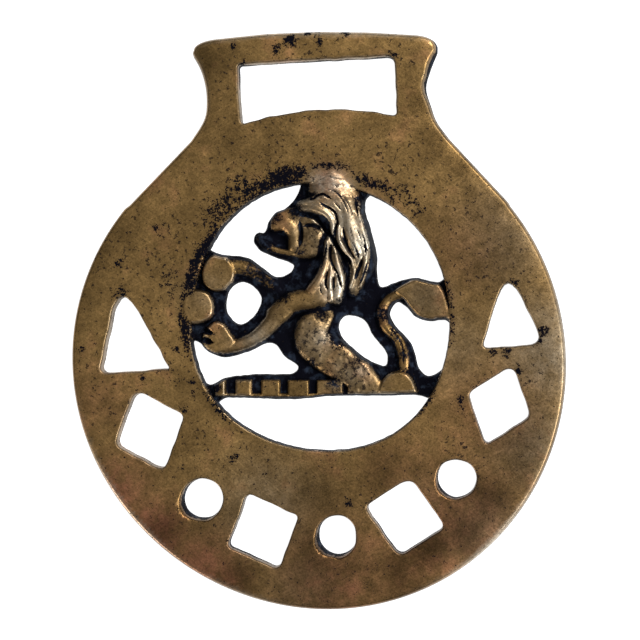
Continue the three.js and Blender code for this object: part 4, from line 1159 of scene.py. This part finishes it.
def patina_group(finish):
    """Aged brass: a cloudy patina with coppery patches and pits, dirt in the recesses and painted shade on
    the walls with a bluish painted reflection on parts of both, and bright worn edges with painted highlights
    among them.
    """
    tree, given, out = new_group(
        "Aged brass",
        [("Recess", FLOAT, 0.0), ("Wear_And_Highlight", FLOAT, 0.0), ("Crust", FLOAT, 0.0), ("Copper", FLOAT, 0.0),
         ("Pitted", FLOAT, 0.0), ("Tone", FLOAT, 0.0), ("Dull", FLOAT, 0.0),
         ("Patina Colour", COLOUR, (*finish.patina, 1)), ("Copper Colour", COLOUR, (*finish.copper, 1)),
         ("Bright Colour", COLOUR, (*finish.bright, 1)), ("Grime And Shade Colour", COLOUR, (*finish.grime_and_shade, 1)),
         ("Painted Reflection Colour", COLOUR, (*finish.painted_reflection, 1)), ("Dull Colour", COLOUR, (*finish.dull, 1))],
        [("Colour", COLOUR), ("Roughness", FLOAT), ("Metallic", FLOAT), ("Dirt And Shade", FLOAT)])
    where = node(tree, "ShaderNodeTexCoord").outputs["Object"]
    cloud = noise(tree, where, finish.cloud_size)
    patch = noise(tree, where, finish.patch_size, 4.0, 0.65)
    speck = noise(tree, where, finish.speck_size, 3.0, 0.7)
    fine = noise(tree, where, finish.grit_size, 3.0, 0.65)
    copper = maths(tree, "MULTIPLY", given["Copper"], span(tree, patch, 0.35, 0.65, 0.4, 1.0), clamp=True)
    copper = maths(tree, "ADD", copper, span(tree, cloud, 0.56, 0.72, 0, 0.4), clamp=True)
    dull = maths(tree, "MULTIPLY", given["Dull"], span(tree, patch, 0.3, 0.7, 0.5, 1.0), clamp=True)
    base = mixed(tree, dull, given["Patina Colour"], given["Dull Colour"])
    base = mixed(tree, copper, base, given["Copper Colour"])
    shade = span(tree, cloud, 0.3, 0.7, 0.70, 1.25)
    shade = maths(tree, "MULTIPLY", shade, span(tree, patch, 0.3, 0.7, 0.74, 1.22))
    scratch = node(tree, "ShaderNodeGroup", dict(node_tree=scratch_group())).outputs["Scratches"]
    shade = maths(tree, "MULTIPLY", shade, span(tree, scratch, 0.0, 1.0, 0.94, 1.3))
    shade = maths(tree, "MULTIPLY", shade, span(tree, fine, 0.3, 0.7, 0.66, 1.3))
    # The tone's clouds, with its painted shade and painted highlight on the rim.
    shade = maths(tree, "MULTIPLY", shade, span(tree, given["Tone"], -1.0, 1.0, 0.3, 1.7))
    tone = node(tree, "ShaderNodeCombineColor", Red=shade, Green=shade, Blue=shade).outputs[0]
    base = mixed(tree, 1.0, base, tone, "MULTIPLY")
    # Wear and painted highlights turn the patina to the bright colour.
    worn = maths(tree, "MULTIPLY", given["Wear_And_Highlight"], span(tree, speck, 0.3, 0.6, 0.4, 1.0), clamp=True)
    worn = maths(tree, "MULTIPLY", worn, span(tree, scratch, 0.0, 0.6, 0.75, 1.3), clamp=True)
    base = mixed(tree, worn, base, given["Bright Colour"])
    limit = span(tree, given["Pitted"], 0.0, 1.5, 0.645, 0.5)
    dots = span(tree, maths(tree, "SUBTRACT", speck, limit), 0.0, 0.03, 0, 0.85)
    grit = span(tree, fine, 0.25, 0.75, -0.5, 0.5)
    grit = maths(tree, "ADD", grit, span(tree, speck, 0.3, 0.7, -0.3, 0.3))
    crust = span(tree, maths(tree, "ADD", given["Crust"], maths(tree, "MULTIPLY", grit, 1.3)), 0.42, 0.6)
    recess = span(tree, maths(tree, "ADD", given["Recess"], maths(tree, "MULTIPLY", grit, 0.8)), 0.22, 0.62)
    # Crust, dirt, pits and the walls' painted shade all take the dark colour.
    dirt_and_shade = maths(tree, "MAXIMUM", maths(tree, "MAXIMUM", crust, recess), dots)
    # A bluish painted reflection on parts of the recesses.
    painted_reflection = maths(tree, "MULTIPLY", span(tree, patch, 0.5, 0.68), given["Recess"], clamp=True)
    grime_and_shade = mixed(tree, painted_reflection, given["Grime And Shade Colour"], given["Painted Reflection Colour"])
    tree.links.new(mixed(tree, dirt_and_shade, base, grime_and_shade), out["Colour"])
    rough = span(tree, fine, 0.3, 0.7, 0.32, 0.48)
    rough = maths(tree, "ADD", rough, maths(tree, "MULTIPLY", dirt_and_shade, 0.25), clamp=True)
    tree.links.new(rough, out["Roughness"])
    tree.links.new(span(tree, dirt_and_shade, 0.2, 1.0, 1.0, 0.6), out["Metallic"])
    tree.links.new(dirt_and_shade, out["Dirt And Shade"])
    return tree


def scratch_group():
    """Fine scratches: noise drawn out into streaks in two directions, of which the strongest are kept."""
    tree, _, out = new_group("Scratches", [], [("Scratches", FLOAT)])
    where = node(tree, "ShaderNodeTexCoord").outputs["Object"]
    kept = []
    for angle in (-0.7, 0.45):
        way = node(tree, "ShaderNodeMapping", dict(vector_type="TEXTURE"),
                   Vector=where, Rotation=(0, 0, angle), Scale=(14, 1, 1))
        streaks = noise(tree, way.outputs["Vector"], 0.00025, 3.0, 0.6)
        kept.append(span(tree, streaks, 0.56, 0.72))
    tree.links.new(maths(tree, "MAXIMUM", *kept), out["Scratches"])
    return tree


def surface_group(finish):
    """Height of the cast surface's fine grain and the crust's grit, from 0 to 1."""
    tree, given, out = new_group("Cast surface", [("Dirt And Shade", FLOAT, 0.0)], [("Height", FLOAT)])
    where = node(tree, "ShaderNodeTexCoord").outputs["Object"]
    grain = noise(tree, where, finish.pit_size, 5.0, 0.6)
    wide = noise(tree, where, 0.0022, 2.0, 0.5)
    grit = maths(tree, "MULTIPLY", noise(tree, where, 0.0004, 4.0, 0.7), given["Dirt And Shade"])
    height = maths(tree, "ADD", maths(tree, "MULTIPLY", grain, 0.35), maths(tree, "MULTIPLY", wide, 0.6))
    height = maths(tree, "SUBTRACT", height, maths(tree, "MULTIPLY", given["Dirt And Shade"], 0.4))
    tree.links.new(maths(tree, "ADD", height, grit), out["Height"])
    return tree


def brass_material(finish):
    """Metal whose colour, roughness and bumps come from the two groups."""
    made = bpy.data.materials.new("Aged brass")
    made.use_nodes = True
    tree = made.node_tree
    shader = tree.nodes["Principled BSDF"]
    shader.inputs["Specular IOR Level"].default_value = 0.0
    patina = node(tree, "ShaderNodeGroup", dict(node_tree=patina_group(finish)))
    surface = node(tree, "ShaderNodeGroup", dict(node_tree=surface_group(finish)))
    for label in ("recess", "wear_and_highlight", "crust", "copper", "pitted", "tone", "dull"):
        share = node(tree, "ShaderNodeAttribute", dict(attribute_name=label)).outputs["Fac"]
        tree.links.new(share, patina.inputs[label.title()])
    tree.links.new(patina.outputs["Dirt And Shade"], surface.inputs["Dirt And Shade"])
    bump = node(tree, "ShaderNodeBump", Strength=1.0, Distance=finish.bump, Height=surface.outputs["Height"])
    tree.links.new(patina.outputs["Colour"], shader.inputs["Base Color"])
    tree.links.new(patina.outputs["Roughness"], shader.inputs["Roughness"])
    tree.links.new(patina.outputs["Metallic"], shader.inputs["Metallic"])
    tree.links.new(bump.outputs["Normal"], shader.inputs["Normal"])
    return made


class BRASS_OT_cast(bpy.types.Operator):
    """Cast the medallion: face, worn edges, lion and flat back as one closed skin"""

    bl_idname = "brass.cast"
    bl_label = "Cast the medallion"

    def execute(self, context):
        scene = context.scene
        sizes = scene.brass_sizes
        plan = Plan(sizes)
        relief = Relief(plan, sizes)
        coords, faces = cast_mesh(plan, relief, sizes)
        obj = put_mesh("horse_brass_cast", coords, faces)
        for label, share in masks(plan, relief, coords).items():
            layer = obj.data.attributes.new(label, "FLOAT", "POINT")
            layer.data.foreach_set("value", share.astype(np.float32))
        obj.data.shade_smooth()
        obj.data.materials.append(brass_material(scene.brass_finish))
        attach(obj, "root")
        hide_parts("horse_brass")
        return {"FINISHED"}


# Where the camera and the lights aim, in metres.
AIM = (0.00048, 0.00008, 0.0015)
# Soft square lights: name, place in metres, side, power and colour.
LIGHTS = (
    ("Key", (0.40, 0.52, 0.60), 0.25, 8.0, (1, 0.98, 0.95)),
    ("Side", (0.66, -0.22, 0.52), 0.30, 8.0, (0.95, 0.98, 1)),
    ("Warm", (-0.50, -0.46, 0.16), 0.25, 2.4, (1, 0.95, 0.88)),
)


def white_material():
    """Matt near-white that glows a little, so the floor reads as plain white."""
    made = bpy.data.materials.new("Pale floor")
    made.use_nodes = True
    shader = made.node_tree.nodes["Principled BSDF"]
    shader.inputs["Base Color"].default_value = (0.3, 0.3, 0.3, 1)
    shader.inputs["Roughness"].default_value = 1.0
    shader.inputs["Specular IOR Level"].default_value = 0.0
    shader.inputs["Emission Color"].default_value = (1, 1, 1, 1)
    shader.inputs["Emission Strength"].default_value = 0.97
    return made


def area_light(name, at, size, power, colour, aim):
    """A soft square light that looks at its aim."""
    data = bpy.data.lights.new(name, "AREA")
    data.shape, data.size, data.energy, data.color = "SQUARE", size, power, colour
    light = bpy.data.objects.new(name, data)
    light.location = at
    light.rotation_euler = (aim - light.location).to_track_quat("-Z", "Y").to_euler()
    bpy.context.scene.collection.objects.link(light)
    return light


def soft_room():
    """A room that is bright overhead, fairly bright to the right and dark low on the left."""
    world = bpy.data.worlds.new("Soft room")
    world.use_nodes = True
    tree = world.node_tree
    where = node(tree, "ShaderNodeTexCoord").outputs["Generated"]
    way = node(tree, "ShaderNodeSeparateXYZ", Vector=where)
    overhead = span(tree, way.outputs["Z"], 0.55, 1.0, 0.16, 0.85)
    right = span(tree, way.outputs["X"], 0.1, 0.8, 0.0, 0.4)
    back = tree.nodes["Background"]
    back.inputs["Color"].default_value = (0.93, 0.96, 1, 1)
    tree.links.new(maths(tree, "ADD", overhead, right), back.inputs["Strength"])
    return world


class BRASS_OT_stage(bpy.types.Operator):
    """Set the pale floor, the soft lights and the camera"""

    bl_idname = "brass.stage"
    bl_label = "Set the stage"

    def execute(self, context):
        scene = context.scene
        stage = scene.brass_stage
        half = stage.floor_size / 2
        floor = bpy.data.meshes.new("floor")
        corners = ((-half, -half, 0), (half, -half, 0), (half, half, 0), (-half, half, 0))
        floor.from_pydata(corners, [], [(0, 1, 2, 3)])
        floor.materials.append(white_material())
        ground = bpy.data.objects.new("floor", floor)
        scene.collection.objects.link(ground)
        aim = Vector(AIM)
        for light in LIGHTS:
            area_light(*light, aim)
        scene.world = soft_room()
        lens = bpy.data.cameras.new("Camera")
        lens.sensor_width = 36
        lens.lens = lens.sensor_width * stage.distance / stage.view_width
        eye = bpy.data.objects.new("Camera", lens)
        lean = Vector((math.sin(stage.tilt), 0, math.cos(stage.tilt)))
        eye.location = aim + stage.distance * lean
        eye.rotation_euler = (0, stage.tilt, 0)
        scene.collection.objects.link(eye)
        scene.camera = eye
        scene.view_settings.view_transform = "Standard"
        return {"FINISHED"}


class BRASS_PT_panel(bpy.types.Panel):
    """Sizes, finish and steps of the medallion"""

    bl_idname = "BRASS_PT_panel"
    bl_label = "Horse Brass"
    bl_space_type = "VIEW_3D"
    bl_region_type = "UI"
    bl_category = "Horse Brass"

    def draw(self, context):
        for group in (context.scene.brass_sizes, context.scene.brass_finish, context.scene.brass_stage):
            box = self.layout.box()
            for key in group.bl_rna.properties.keys():
                if key not in ("rna_type", "name"):
                    box.prop(group, key)
        self.layout.operator("brass.cast")
        self.layout.operator("brass.stage")


CLASSES = (BrassSizes, BrassFinish, BrassStage, BRASS_OT_cast, BRASS_OT_stage, BRASS_PT_panel)


def register():
    """Add the classes and their properties."""
    for item in CLASSES:
        bpy.utils.register_class(item)
    bpy.types.Scene.brass_sizes = PointerProperty(type=BrassSizes)
    bpy.types.Scene.brass_finish = PointerProperty(type=BrassFinish)
    bpy.types.Scene.brass_stage = PointerProperty(type=BrassStage)


def unregister():
    """Take them off again."""
    del bpy.types.Scene.brass_sizes, bpy.types.Scene.brass_finish, bpy.types.Scene.brass_stage
    for item in reversed(CLASSES):
        bpy.utils.unregister_class(item)


def main():
    """Build the scene."""
    register()
    bpy.ops.brass.cast()
    bpy.ops.brass.stage()


if __name__ == "__main__":
    main()
